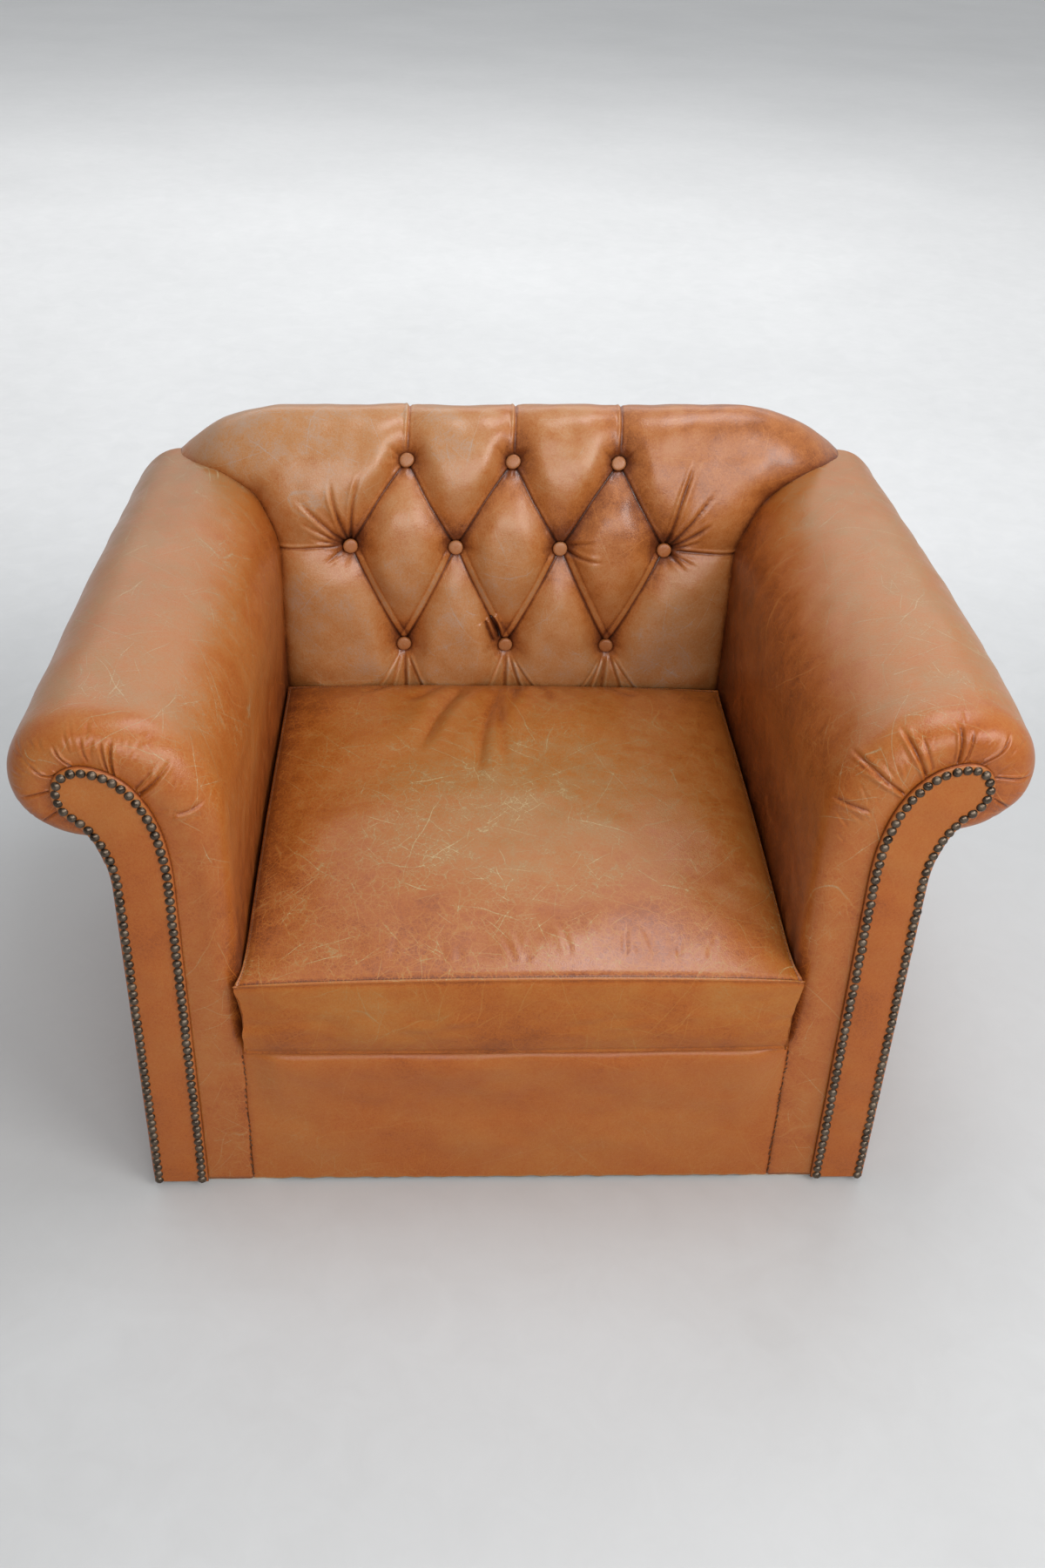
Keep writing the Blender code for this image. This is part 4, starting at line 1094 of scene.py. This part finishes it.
def buttons(b, mat):
    number = 0
    for row in b.buttons:
        for x, v in row:
            number += 1
            o = b.base(x, v)
            du = b.base(x + 1.0, v) - b.base(x - 1.0, v)
            dv = b.base(x, v + 1.0) - b.base(x, v - 1.0)
            n = np.cross(du, dv)
            n /= np.linalg.norm(n)
            if n[1] > 0:
                n = -n
            dv = dv / np.linalg.norm(dv)
            du = np.cross(dv, n)
            prof = [(0.0, -8.0), (7.5, -8.0), (9.6, -7.0), (10.3, -5.4), (10.3, -3.3), (9.9, -2.0), (9.0, -1.0), (7.4, -0.45), (4.0, -0.12), (0.0, 0.0)]
            seg = 28
            verts, tones, faces, ring = [], [], [], []
            r = np.random.default_rng(80 + number)
            tilt = r.normal(0, 0.05, 2)
            for rad, hh in prof:
                ids = []
                for k in range(seg if rad else 1):
                    a = 2 * math.pi * k / seg
                    wob = 1 + 0.012 * math.sin(3 * a + number)
                    c, s = rad * wob * math.cos(a), rad * wob * math.sin(a)
                    ids.append(len(verts))
                    verts.append(o + du * c + dv * s + n * (hh - BUTTON_SINK + tilt[0] * c + tilt[1] * s))
                    # the sunken sides are painted darker as painted shade; the face is a little paler
                    tones.append(-0.15 + 0.15 * (hh > -2) - 0.8 * (hh < -5))
                ring.append(ids)
            for lo, hi in zip(ring, ring[1:]):
                for k in range(seg):
                    m = (k + 1) % seg
                    if len(lo) == 1:
                        faces.append((lo[0], hi[k], hi[m]))
                    elif len(hi) == 1:
                        faces.append((lo[k], lo[m], hi[0]))
                    else:
                        faces.append((lo[k], lo[m], hi[m], hi[k]))
            obj = piece("back_button_leather_%02d" % number, np.array(verts), faces, mat, {"tone": tones, "wear": np.full(len(verts), 0.4)})
            place(obj, replaces=("back_button_%02d" % number,))


def outside_back(mat):
    """Flat outside back, its edges turned in, its outline inside the rolls of the arms and under the roll of the back."""
    right = np.vstack(
        [
            [(444.0, BASE), (444.0, 525.0)],
            bezier((444.0, 525.0), (446.0, 536.0), (452.0, 541.0), (470.0, 543.0), 10),
            arc(470.0, 594.0, 67.0, 51.0, -90, 0, 20),
            arc(470.0, 594.0, 67.0, 64.0, 0, 84, 22),
            bezier((477.0, 658.0), (440.0, 662.0), (400.0, 661.0), (330.0, 660.0), 14),
        ]
    )
    ring = np.vstack([right, right[::-1] * (-1, 1)])
    ring = np.vstack([ring, ring[:1]])
    ring = at_lengths(ring, np.linspace(0, length_along(ring)[-1], 420, endpoint=False))
    n = len(ring)
    verts, tone = [], []
    for inset, y, shade in ((2.5, -1.6, -1.2), (0.8, -0.6, -1.2), (0.0, 0.8, -1.0), (0.6, 2.2, -0.5), (2.2, 3.1, -0.2), (6.0, 3.7, -0.15), (14.0, 4.0, -0.12)):
        square = np.column_stack([np.clip(ring[:, 0], inset - 444.0, 444.0 - inset), np.maximum(ring[:, 1], BASE + inset)])
        q = np.where(ring[:, 1:] < 500, square, offset(ring, -inset, True))
        verts.append(np.column_stack([q[:, 0], np.full(n, REAR + y), q[:, 1]]))
        tone.append(np.full(n, shade))
    # the middle: a lattice of points inside the last ring, joined to it by triangles
    rim = verts[-1][:, [0, 2]]
    gx, gz = np.meshgrid(np.arange(-540, 541, 12.0), np.arange(12, 660, 12.0), indexing="ij")
    pts = np.column_stack([gx.ravel(), gz.ravel()])
    nxt = np.roll(rim, -1, 0)
    within = np.zeros(len(pts), bool)
    for (x0, z0), (x1, z1) in zip(rim, nxt):
        if z0 != z1:
            within ^= ((z0 > pts[:, 1]) != (z1 > pts[:, 1])) & (pts[:, 0] < x0 + (x1 - x0) * (pts[:, 1] - z0) / (z1 - z0))
    far = np.min(np.hypot(pts[:, None, 0] - rim[None, :, 0], pts[:, None, 1] - rim[None, :, 1]), axis=1)
    pts = pts[within & (far > 8.0)]
    flat = np.vstack([rim, pts])
    out = delaunay_2d_cdt([Vector(map(float, c)) for c in flat], [(k, (k + 1) % n) for k in range(n)], [], 1, 1e-4)
    source = [ids[0] for ids in out[3]]
    swell = smooth(0, 150, 430 - np.abs(pts[:, 0])) * smooth(0, 150, pts[:, 1] - 20) * smooth(0, 150, 646 - pts[:, 1])
    verts.append(np.column_stack([pts[:, 0], REAR + 4.0 + swell * (2.2 + 0.5 * waves(pts, 190, 64)), pts[:, 1]]))
    tone.append(-0.12 + 0.15 * waves(pts, 230, 65))
    faces = [list(f) for f in grid_faces(7, n, close_v=True)] + [[6 * n + source[k] for k in f] for f in out[2]]
    every = np.concatenate(verts)
    obj = piece("outside_back_leather", every, faces, mat, {"tone": np.concatenate(tone), "wear": np.full(len(every), 0.35)}, outward=False)
    weld(obj)
    near = min(obj.data.polygons, key=lambda f: (f.center - Vector((0.0, 0.408, 0.15))).length_squared)
    if near.normal.y < 0:
        obj.data.flip_normals()
    obj.data.shade_smooth()
    return thicken(obj, 1.6)


# ---------------------------------------------------------------- seat
SEAT_FOLDS = [
    ([(-52, 640), (-93, 538), (-124, 410)], 6.2, 10.0),
    ([(0, 640), (-23, 550), (-43, 330)], 6.8, 10.5),
    ([(-12, 600), (-10, 500), (-9, 350)], 4.2, 8.5),
    ([(22, 640), (13, 590), (4, 520)], 3.4, 8.0),
    ([(-82, 640), (-110, 600), (-150, 560)], 2.2, 8.0),
    ([(50, 640), (60, 600), (66, 556)], 2.2, 7.0),
    ([(150, 640), (168, 606), (196, 585)], 1.6, 6.0),
    ([(-170, 640), (-186, 612), (-214, 596)], 1.6, 6.0),
]


def cushion(mat, boxing_mat):
    """Loose box cushion: crowned top, boxing with a plain seam round its edge, sides pulled in between the corners."""
    fine = np.array([0, 1.2, 2.4, 3.6, 5.2, 7.6, 11.5, 17.0])
    a = np.concatenate([fine, np.linspace(23, 617, 190), 640 - fine[::-1]]) / 640 * 2 - 1
    b = np.concatenate([fine, np.linspace(21, 120, 44), np.linspace(124, 618, 132), 640 - fine[::-1]]) / 640
    A, B = np.meshgrid(a, b, indexing="ij")

    def plan(A, B):
        waist = np.where(A > 0, -5.0, -4.0) * np.sin(np.pi * np.clip(B, 0, 1)) ** 1.2
        half = 317.0 - waist + 9.0 * np.exp(-B / 0.035) + 1.0 * np.exp(-(1 - B) / 0.05)
        front = -4.5 - 3.0 * (1 - A**2) - 1.5 * np.abs(A) ** 10
        return A * half, front + (640.0 - front) * B

    x, y = plan(A, B)
    edge_x = (1 - np.abs(A)) * 320.0
    edge_f, edge_r = B * 640.0, (1 - B) * 640.0
    edge = np.minimum(np.minimum(edge_x, edge_f), edge_r)
    front = 333.5 + 9.0 * (1 - np.abs(A) ** 2.2)
    rear = 346.0 + 5.0 * (1 - np.abs(A) ** 2.2)
    seam = front * (1 - B) + rear * B - 9.0 * np.sin(np.pi * B) * np.abs(A) ** 6
    across = (1 - np.abs(A) ** 3.4) ** 0.46
    crown = 23.0 * across * (1 - np.exp(-edge_f / 62.0)) * (1 - np.exp(-edge_r / 40.0))
    crown += 7.0 * np.cos(np.pi * A / 2) * np.sin(np.pi * B) ** 0.8
    z = seam + crown - 1.7 * bump1(edge_f - 4.4, 1.9) - 1.0 * bump1(np.minimum(edge_x, edge_r) - 4.4, 1.9) + 0.6 * bump1(edge - 1.4, 1.3)
    top = np.stack([x, y, z], -1)
    n = normals(top)
    n = np.where(n[..., 2:] < 0, -n, n)
    h = 1.2 * waves(top, 170, 91) * smooth(10, 60, edge) + 0.25 * waves(top, 55, 92) * smooth(10, 40, edge)
    tone = np.zeros(h.shape)
    r = np.random.default_rng(93)
    folds = list(SEAT_FOLDS)
    for _ in range(20):
        x0, y0 = r.normal(60, 110), r.uniform(6, 24)
        dx, dy = r.normal(-8, 14), r.uniform(24, 64)
        folds.append(([(x0, y0), (x0 + dx * 0.4, y0 + dy * 0.5), (x0 + dx, y0 + dy)], r.uniform(0.25, 0.7), r.uniform(2.2, 3.6)))
    for line, depth, width in folds:
        up, dark = crease(x, y, line, depth, width, 0.6, (0.3, 0.32))
        h += up
        # painted shade in the folds' valleys
        tone -= (0.40 if width > 5 else 0.4) * dark
    top = top + n * h[..., None]
    i, j = len(a), len(b)
    ring = [(k, 0) for k in range(i)] + [(i - 1, k) for k in range(1, j)] + [(k, j - 1) for k in range(i - 2, -1, -1)] + [(0, k) for k in range(j - 2, 0, -1)]
    ks, ls = np.array(ring).T
    loop = top[ks, ls]
    out = np.stack([(ks == i - 1).astype(float) - (ks == 0), (ls == j - 1).astype(float) - (ls == 0)], 1)
    out /= np.linalg.norm(out, axis=1)[:, None]
    on_end = (ls == 0) | (ls == j - 1)
    corner = np.where(on_end, (1 - np.abs(A[ks, ls])) * 320.0, np.minimum(B[ks, ls], 1 - B[ks, ls]) * 640.0)
    is_front = (ls == 0).astype(float)
    bottom = 227.6
    q = np.concatenate([[0.006, 0.016, 0.03, 0.05, 0.075], np.linspace(0.11, 0.46, 9), np.linspace(0.485, 0.665, 15), np.linspace(0.70, 0.89, 6), [0.92, 0.945, 0.965, 0.98, 0.992]])
    boxing, tones = [], []
    for f in q:
        swell = (0.6 + 4.6 * math.sin(math.pi * f) ** 0.7) * smooth(0, 60, corner) - 0.9 * (1 - smooth(0, 26, corner)) * math.sin(math.pi * f)
        swell = swell * np.where(is_front > 0, 1.0, 0.35) - 1.3 * (bump1(f - 0.032, 0.02) + bump1(f - 0.965, 0.022))
        xy = loop[:, :2] + out * swell[:, None]
        # below the ears the boxing draws in towards the arms' corners
        ear = smooth(0, 0.5, f) * np.where(is_front > 0, np.exp(-corner / 26.0), np.exp(-np.maximum(loop[:, 1], 0) / 30.0) * (loop[:, 1] < 200))
        xy[:, 0] -= np.sign(loop[:, 0]) * 6.5 * ear
        xy -= out * (3.0 * smooth(0.7, 1.0, f) * is_front)[:, None]
        zz = loop[:, 2] + (bottom - loop[:, 2]) * f
        row = np.column_stack([xy, zz])
        flat = row[:, [0, 2]] * (1.0, 2.2)
        row[:, :2] += out * ((0.8 * waves(row, 120, 95) + 0.35 * waves(flat, 60, 96)) * math.sin(math.pi * f))[:, None]
        # the zip lies in a shallow opening in the rear boxing
        zip_room = (ls == j - 1) * smooth(256, 251.5, np.abs(row[:, 0])) * smooth(6.4, 4.2, np.abs(row[:, 2] - 280.0))
        row[:, 1] = row[:, 1] * (1 - zip_room) + 637.6 * zip_room
        zip_lip = (ls == j - 1) * bump1(np.abs(row[:, 2] - 280.0) - 7.5, 1.8) * smooth(262, 254, np.abs(row[:, 0]))
        row[:, 1] = row[:, 1] * (1 - zip_lip) + np.minimum(row[:, 1], 640.3) * zip_lip
        boxing.append(row)
        # painted shade: the boxing darker on the sides and back in the gaps round the cushion, in the groove under the
        # top seam and towards its bottom edge
        tones.append(np.where(is_front > 0, 0.0 - 0.22 * smooth(0.25, 0.8, f), -0.7) - 0.5 * bump1(f - 0.03, 0.02) * is_front - 0.15 * smooth(0.9, 1.0, f) + 0.15 * waves(row, 150, 97))
    boxing = np.array(boxing)
    low = boxing[-1].copy()
    low[:, 2] = bottom - 0.3
    # the underside as rings shrinking towards the middle
    under = [low]
    centre = np.array([0.0, 320.0, bottom - 0.5])
    for k in (0.03, 0.1, 0.25, 0.5, 0.75, 0.97):
        w = low * (1 - k) + centre * k
        w[:, 2] = bottom - 0.5
        under.append(w)
    nt, m = i * j, len(ring)
    verts = [top.reshape(-1, 3), boxing.reshape(-1, 3), np.concatenate(under)]
    rows = [ks * j + ls] + [nt + f * m + np.arange(m) for f in range(len(q) + len(under))]
    faces = [list(f) for f in grid_faces(i, j)]
    for up, dn in zip(rows, rows[1:]):
        faces += np.stack([up, np.roll(up, -1), np.roll(dn, -1), dn], -1).tolist()
    faces.append(list(rows[-1]))
    # paler in the middle; darker towards the rear edge, painted shade under the back
    tone += 0.80 * np.exp(-(((A - 0.08) / 0.58) ** 2) - ((B - 0.50) / 0.30) ** 2) - 0.25 * smooth(0.78, 1.0, B) - 0.12
    tone -= 0.25 * np.exp(-(((A + 0.55) / 0.4) ** 2) - ((B - 0.1) / 0.2) ** 2)
    # a painted highlight on the seam's rounded edge and painted shade in the groove just behind it
    tone += 0.35 * bump1(edge_f - 1.2, 1.3) - 1.0 * bump1(edge_f - 4.3, 1.2)
    # painted shade along the sides beside the arms, lighter on the right
    tone -= (0.40 * (1 - smooth(0, 40, edge_x)) + 0.35 * (1 - smooth(0, 110, edge_x))) * smooth(0.02, 0.16, B) * np.where(A > 0, 0.3, 1.0)
    tone -= 0.42 * np.exp(-(((A - 0.45) / 0.42) ** 2) - ((B - 0.09) / 0.13) ** 2)
    dull = 0.55 * smooth(0.15, -0.35, A) * smooth(0.55, 0.2, B)
    wear = 0.75 + 0.5 * np.exp(-(((B - 0.12) / 0.2) ** 2)) + 0.45 * np.exp(-(((A + 0.4) / 0.5) ** 2) - ((B - 0.4) / 0.4) ** 2)
    rest = m * len(under)
    attrs = {
        "tone": np.concatenate([tone.ravel(), np.array(tones).ravel(), np.full(rest, -0.6)]),
        "wear": np.concatenate([wear.ravel(), np.full(len(q) * m, 0.7), np.full(rest, 0.1)]),
        "dull": np.concatenate([dull.ravel(), np.zeros(len(q) * m + rest)]),
    }
    obj = piece("seat_cushion_leather", np.concatenate(verts), faces, mat, attrs, 50)
    obj.data.materials.append(boxing_mat)
    for face in obj.data.polygons:
        face.material_index = int(min(face.vertices) >= nt or max(face.vertices) >= nt)
    seams = {"front": top[:, 3], "left": top[3], "right": top[-4], "rear": top[:, -4]}
    return obj, seams


def front_rail(mat):
    """Front rail cover: leather apron, turned back over the rail under the cushion, with a raw lower edge."""
    u = np.concatenate([[-323.0, -322.0, -320.0, -316.0], np.linspace(-310, 310, 150), [316.0, 320.0, 322.0, 323.0]])
    prof = np.vstack([[[6.4, BASE - 0.6], [5.4, BASE], [5.0, BASE + 2.0], [5.0, 214.0]], arc(15.0, 214.0, 10.0, 11.8, 180, 90, 8), [[70.0, 226.2]]])
    s = np.concatenate([[0, 1.2, 2.6, 5], np.linspace(10, 207, 60), np.linspace(210, length_along(prof)[-1], 22)])
    c = at_lengths(prof, s)
    X = np.repeat(u[:, None], len(s), 1)
    Sg = np.repeat(s[None, :], len(u), 0)
    p = np.stack([X, np.repeat(c[None, :, 0], len(u), 0), np.repeat(c[None, :, 1], len(u), 0)], -1)
    body = smooth(0, 60, 323 - np.abs(X)) * smooth(10, 70, Sg) * (1 - smooth(199, 219, Sg))
    p[..., 1] -= body * (1.8 + 0.9 * waves(p[..., [0, 2]], 160, 101)) + 0.3 * waves(p[..., [0, 2]], 50, 102) * body
    # the upper edge stands a little proud of the cushion
    p[..., 1] -= 9.0 * smooth(0, 46, 323 - np.abs(X)) * smooth(110, 200, Sg) * (1 - smooth(213, 242, Sg))
    rim = 1 - smooth(0, 4.5, 323 - np.abs(X))
    p[..., 1] += 1.0 * rim
    p[..., 2] += (1 - smooth(0, 14, Sg)) * 0.7 * waves(X[..., None], 34, 104)
    # the part turned back over the deck lies level
    p[..., 2] += (p - settle(p).reshape(p.shape))[..., 2] * smooth(2, 15, p[..., 1]) * smooth(213, 222, p[..., 2])
    # painted shade in the grooves of the side seams and on the part turned back under the cushion; a little darker
    # along the top; the raw lower edge paler
    tone = 0.02 - 0.45 * rim - 0.5 * smooth(222, 240, Sg) + 0.10 * waves(p[..., [0, 2]], 190, 103) - 0.14 * bump1(Sg - 206, 18) + 1.1 * (1 - smooth(1.0, 5.0, Sg))
    wear = 0.55 + 0.4 * (1 - smooth(5, 60, Sg))
    obj = piece("front_rail_leather", p, grid_faces(*X.shape), mat, {"tone": tone, "wear": wear}, pick=((0, 5, 110), (0, -1, 0)))
    return thicken(obj, 1.6)


def tube(points, radius, sides=6):
    """Verts and faces of a capped tube along points."""
    p = np.array(points, float)
    d = np.gradient(p, axis=0)
    d /= np.linalg.norm(d, axis=1)[:, None]
    ref = np.array([0.0, 0.0, 1.0]) if abs(d[0, 2]) < 0.9 else np.array([1.0, 0.0, 0.0])
    verts = []
    for q, t in zip(p, d):
        a = np.cross(t, ref)
        a /= np.linalg.norm(a)
        b = np.cross(t, a)
        for k in range(sides):
            th = 2 * math.pi * k / sides
            verts.append(q + radius * (math.cos(th) * a + math.sin(th) * b))
    faces = [list(f) for f in grid_faces(len(p), sides, close_v=True)]
    faces.append(list(range(sides))[::-1])
    faces.append([(len(p) - 1) * sides + k for k in range(sides)])
    return np.array(verts), faces


def threads(name, paths, radius, mat):
    verts, faces, start = [], [], 0
    for path in paths:
        v, f = tube(path, radius)
        verts.append(v)
        faces += [[i + start for i in face] for face in f]
        start += len(v)
    return piece(name, np.concatenate(verts), faces, mat)


def rail_stitches(side, word, mat):
    """Hand ladder stitches that close the seam between the front rail and the arm."""
    r = np.random.default_rng(120 + side)
    paths = []
    z = 13.0
    while z < 218:
        x = side * (323.2 + 0.8 * math.sin(z / 15.0 + side) + r.normal(0, 0.35))
        lean = r.uniform(0.3, 1.7)
        rise = r.uniform(3.0, 7.0)
        paths.append([(x - side * lean, 6.4, z), (x - side * 0.5 * lean, 4.7, z + 0.25 * rise), (x + side * 0.5 * lean, 4.7, z + 0.75 * rise), (x + side * lean, 6.4, z + rise)])
        z += rise + r.uniform(1.5, 6.0)
    return threads(word + "_rail_stitches", paths, 0.62, mat)


def seam_stitches(seams, mat):
    """Machine stitches along the cushion's top seam."""
    paths = []
    for line in seams.values():
        total = length_along(line)[-1]
        for s in np.arange(9, total - 9, 4.2):
            q = at_lengths(line, s + np.array([-1.5, -0.9, 0.9, 1.5]))
            q[:, 2] += (-0.4, 0.35, 0.35, -0.4)
            paths.append(q)
    return threads("cushion_seam_thread", paths, 0.38, mat)


def sheet_grid(name, x0, x1, y0, y1, z, sag, step, mat, thick, seed):
    u, v = np.arange(x0, x1 + 0.1, (x1 - x0) / round((x1 - x0) / step)), np.arange(y0, y1 + 0.1, (y1 - y0) / round((y1 - y0) / step))
    X, Y = np.meshgrid(u, v, indexing="ij")
    p = np.stack([X, Y, z + 0 * X], -1)
    edge = np.minimum(np.minimum(X - x0, x1 - X), np.minimum(Y - y0, y1 - Y))
    p[..., 2] += smooth(0, 60, edge) * (sag + 0.25 * waves(p[..., :2], 120, seed))
    # the frame beneath is level, so the sheet is too
    p = 2 * p - settle(p).reshape(p.shape)
    obj = piece(name, p, grid_faces(*X.shape), mat, {"tone": 0 * X, "wear": 0 * X}, pick=((0, 400, z), (0, 0, 1)))
    return thicken(obj, thick)


def box_piece(name, boxes, bevel, mat, segments=3):
    """Boxes with eased edges in one mesh, each as (low corner, high corner) in mm."""
    bm = bmesh.new()
    for lo, hi in boxes:
        lo, hi = np.array(lo, float), np.array(hi, float)
        made = bmesh.ops.create_cube(bm, size=1.0)["verts"]
        for w in made:
            w.co = Vector((lo + hi) / 2 + np.array(w.co) * (hi - lo))
    if bevel:
        bmesh.ops.bevel(bm, geom=list(bm.edges), offset=bevel, segments=segments, profile=0.5, affect="EDGES")
    bm.verts.index_update()
    verts = np.array([w.co[:] for w in bm.verts])
    faces = [[w.index for w in f.verts] for f in bm.faces]
    bm.free()
    return piece(name, verts, faces, mat, sharp=35)


def zip_parts():
    """Woven tape in the rear boxing, a row of meshing teeth on it, and a slider with a pull."""
    tape = box_piece("cushion_zip_tape", [((-249.5, 638.3, 276.5), (249.5, 639.7, 279.75)), ((-249.5, 638.3, 280.25), (249.5, 639.7, 283.5))], 0.25, TAPE, 2)
    teeth = []
    for k, x in enumerate(np.arange(-246.0, 246.1, 1.6)):
        up = 0.55 if k % 2 else -0.55
        teeth.append(((x - 0.55, 639.5, 280 + up - 1.0), (x + 0.55, 640.6, 280 + up + 1.0)))
    place(tape, "seat_cushion", ("cushion_zip",))
    place(box_piece("cushion_zip_teeth", teeth, 0, BRASS), "seat_cushion")
    body = [((-248.0, 640.9, 276.2), (-236.0, 642.0, 283.8)), ((-243.6, 642.0, 277.4), (-240.4, 643.9, 281.6))]
    pull = [((-243.8, 641.6, 262.2), (-240.2, 642.5, 264.4)), ((-243.8, 641.6, 276.0), (-240.2, 642.6, 278.6))]
    pull += [((-243.8, 641.6, 264.2), (-242.7, 642.5, 276.2)), ((-241.3, 641.6, 264.2), (-240.2, 642.5, 276.2))]
    place(box_piece("zip_slider_pull", body + pull, 0.3, BRASS, 2), "zip_slider", ("zip_slider",))


def feet():
    for side, word in ((-1, "left"), (1, "right")):
        for end, y in (("front", 9.0), ("rear", 715.0)):
            x0, x1 = sorted((side * 290.0, side * 420.0))
            foot = box_piece("%s_%s_foot_block" % (word, end), [((x0, y, 0.0), (x1, y + 70.0, 10.0))], 2.2, PALE_WOOD)
            place(foot, replaces=("%s_%s_foot" % (word, end),))


# ---------------------------------------------------------------- assembly
camera()
light()
HIDE = leather("arm_hide", 0.0, 1.1, 1.1, 0.03, (1.0, 1.0, 1.0), 0.36)
# the back's copy of the hide is tinted paler and bluer than the others: a painted sheen for the haze the back reflects
HIDE_BACK = leather("back_hide", 0.0, 0.6, 0.7, 0.06, (1.16, 1.58, 2.85), 0.46)
HIDE_SEAT = leather("seat_hide", 0.0, 0.78, 1.2, 0.05, (0.98, 1.03, 0.88), 0.55, 0.7, 1.7)
HIDE_BOXING = leather("boxing_hide", 0.0, 0.8, 0.9, 0.0, (0.99, 1.02, 0.88), 0.25, 0.6)
HIDE_FLAT = leather("panel_hide", 0.0, 0.6, 0.7, 0.0, (1.02, 1.0, 0.95), 0.3, 0.45)
HIDE_BUTTON = leather("button_hide", 0.05, 0.3, 0.4, -0.06, (1.0, 1.2, 2.1))
BRONZE = metal("antique_bronze", (0.215, 0.168, 0.125), (0.055, 0.040, 0.030), 0.38)
BEECH = wood("beech_frame", (0.62, 0.43, 0.25), (0.46, 0.29, 0.15))
PALE_WOOD = wood("pale_foot", (0.66, 0.56, 0.43), (0.50, 0.40, 0.28))
STEEL = metal("spring_wire", (0.42, 0.42, 0.43), (0.20, 0.20, 0.21), 0.35)
FOAM = foam("cut_foam")
CLOTH = woven("black_cloth", (0.06, 0.05, 0.045), (0.018, 0.016, 0.015), 900.0)
WEB = woven("jute_web", (0.45, 0.34, 0.19), (0.20, 0.14, 0.07), 420.0)
BRASS = metal("zip_metal", (0.60, 0.45, 0.20), (0.30, 0.21, 0.09), 0.34)
TAPE = woven("zip_cloth", (0.16, 0.08, 0.035), (0.07, 0.035, 0.016), 1100.0)
DARK_THREAD = thread("dark_thread", (0.10, 0.045, 0.02))
SEAM_THREAD = thread("seam_thread", (0.16, 0.06, 0.02))

PLEATS = {
    "left": [
        ([(880, 4), (893, 41)], 2.6, 1.9),
        ([(818, 2), (841, 11), (832, 33)], 3.4, 1.9),
        ([(773, 2), (786, 15), (782, 33)], 3.2, 1.9),
        ([(704, 2), (711, 23), (711, 44)], 3.9, 1.9),
        ([(714, 4), (721, 22), (724, 38)], 2.6, 1.7),
        ([(658, 2), (645, 32), (640, 62)], 3.9, 1.9),
        ([(668, 4), (659, 26), (653, 46)], 1.8, 1.7),
        ([(595, 29), (582, 49), (578, 68)], 2.2, 1.9),
        ([(933, 8), (936, 38)], 2.2, 1.9),
        ([(742, 10), (746, 24), (744, 38)], 1.4, 1.6),
    ],
    "right": [
        ([(590, 33), (576, 57), (563, 86)], 2.4, 1.9),
        ([(648, 5), (624, 66), (614, 102)], 3.9, 1.9),
        ([(635, 30), (621, 60), (609, 86)], 2.0, 1.7),
        ([(690, 3), (679, 47), (671, 76)], 3.9, 1.9),
        ([(701, 8), (695, 34), (690, 56)], 1.8, 1.7),
        ([(738, 3), (738, 28), (732, 56)], 3.9, 1.9),
        ([(749, 6), (751, 26), (749, 44)], 2.0, 1.7),
        ([(787, 3), (801, 22), (793, 50)], 3.4, 1.9),
        ([(848, 4), (864, 26), (870, 54)], 3.2, 1.9),
        ([(909, 8), (921, 42)], 2.2, 1.9),
    ],
}

for side, word in ((-1, "left"), (1, "right")):
    made = place(arm(side, word, HIDE, PLEATS[word]), replaces=(word + "_arm_cover", word + "_arm_pad"))
    place(facing(side, word, HIDE_FLAT), replaces=(word + "_arm_facing",))
    place(nails(side, word, BRONZE), replaces=(word + "_nail_trim",))
    place(outside_arm(side, word, HIDE_FLAT), replaces=(word + "_outside_arm_panel",))
    place(rail_stitches(side, word, DARK_THREAD))

back_obj, back = inside_back(HIDE_BACK)
place(back_obj, replaces=("inside_back_cover", "back_pad"))
buttons(back, HIDE_BUTTON)
place(outside_back(HIDE_FLAT), replaces=("outside_back_panel",))
seat, seams = cushion(HIDE_SEAT, HIDE_BOXING)
place(seat, "seat_cushion", replaces=("cushion_cover", "cushion_core"))
place(seam_stitches(seams, SEAM_THREAD), "seat_cushion")
place(front_rail(HIDE_FLAT), replaces=("front_rail_cover", "front_rail_pad"))

zip_parts()
feet()

deck = place(sheet_grid("deck_cloth_sheet", -320, 320, 71, 645, 226.1, -1.2, 8, CLOTH, 1.0, 130), replaces=("deck_cover",))
dust = place(sheet_grid("dust_cloth_sheet", -439, 439, 9, 794, 10.8, -1.5, 10, CLOTH, 0.6, 131), replaces=("dust_cover",))

# carried-over solids
for name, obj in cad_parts.items():
    if "foot" in name:
        m = PALE_WOOD
    elif name.startswith("seat_spring"):
        m = STEEL
    elif name in ("deck_cover", "dust_cover"):
        m = CLOTH
    elif name == "back_webbing":
        m = WEB
    elif name == "cushion_zip":
        m = TAPE
    elif name == "zip_slider":
        m = BRASS
    elif "pad" in name or name == "cushion_core":
        m = FOAM
    elif any(w in name for w in ("rail", "board", "post", "batten", "block")):
        m = BEECH
    else:
        m = HIDE_FLAT
    obj.data.materials.clear()
    obj.data.materials.append(m)

# floor
bpy.ops.mesh.primitive_plane_add(size=24, location=(0, 4, 0))
ground = bpy.context.object
ground.name = "floor"
ground.data.materials.append(floor_material())
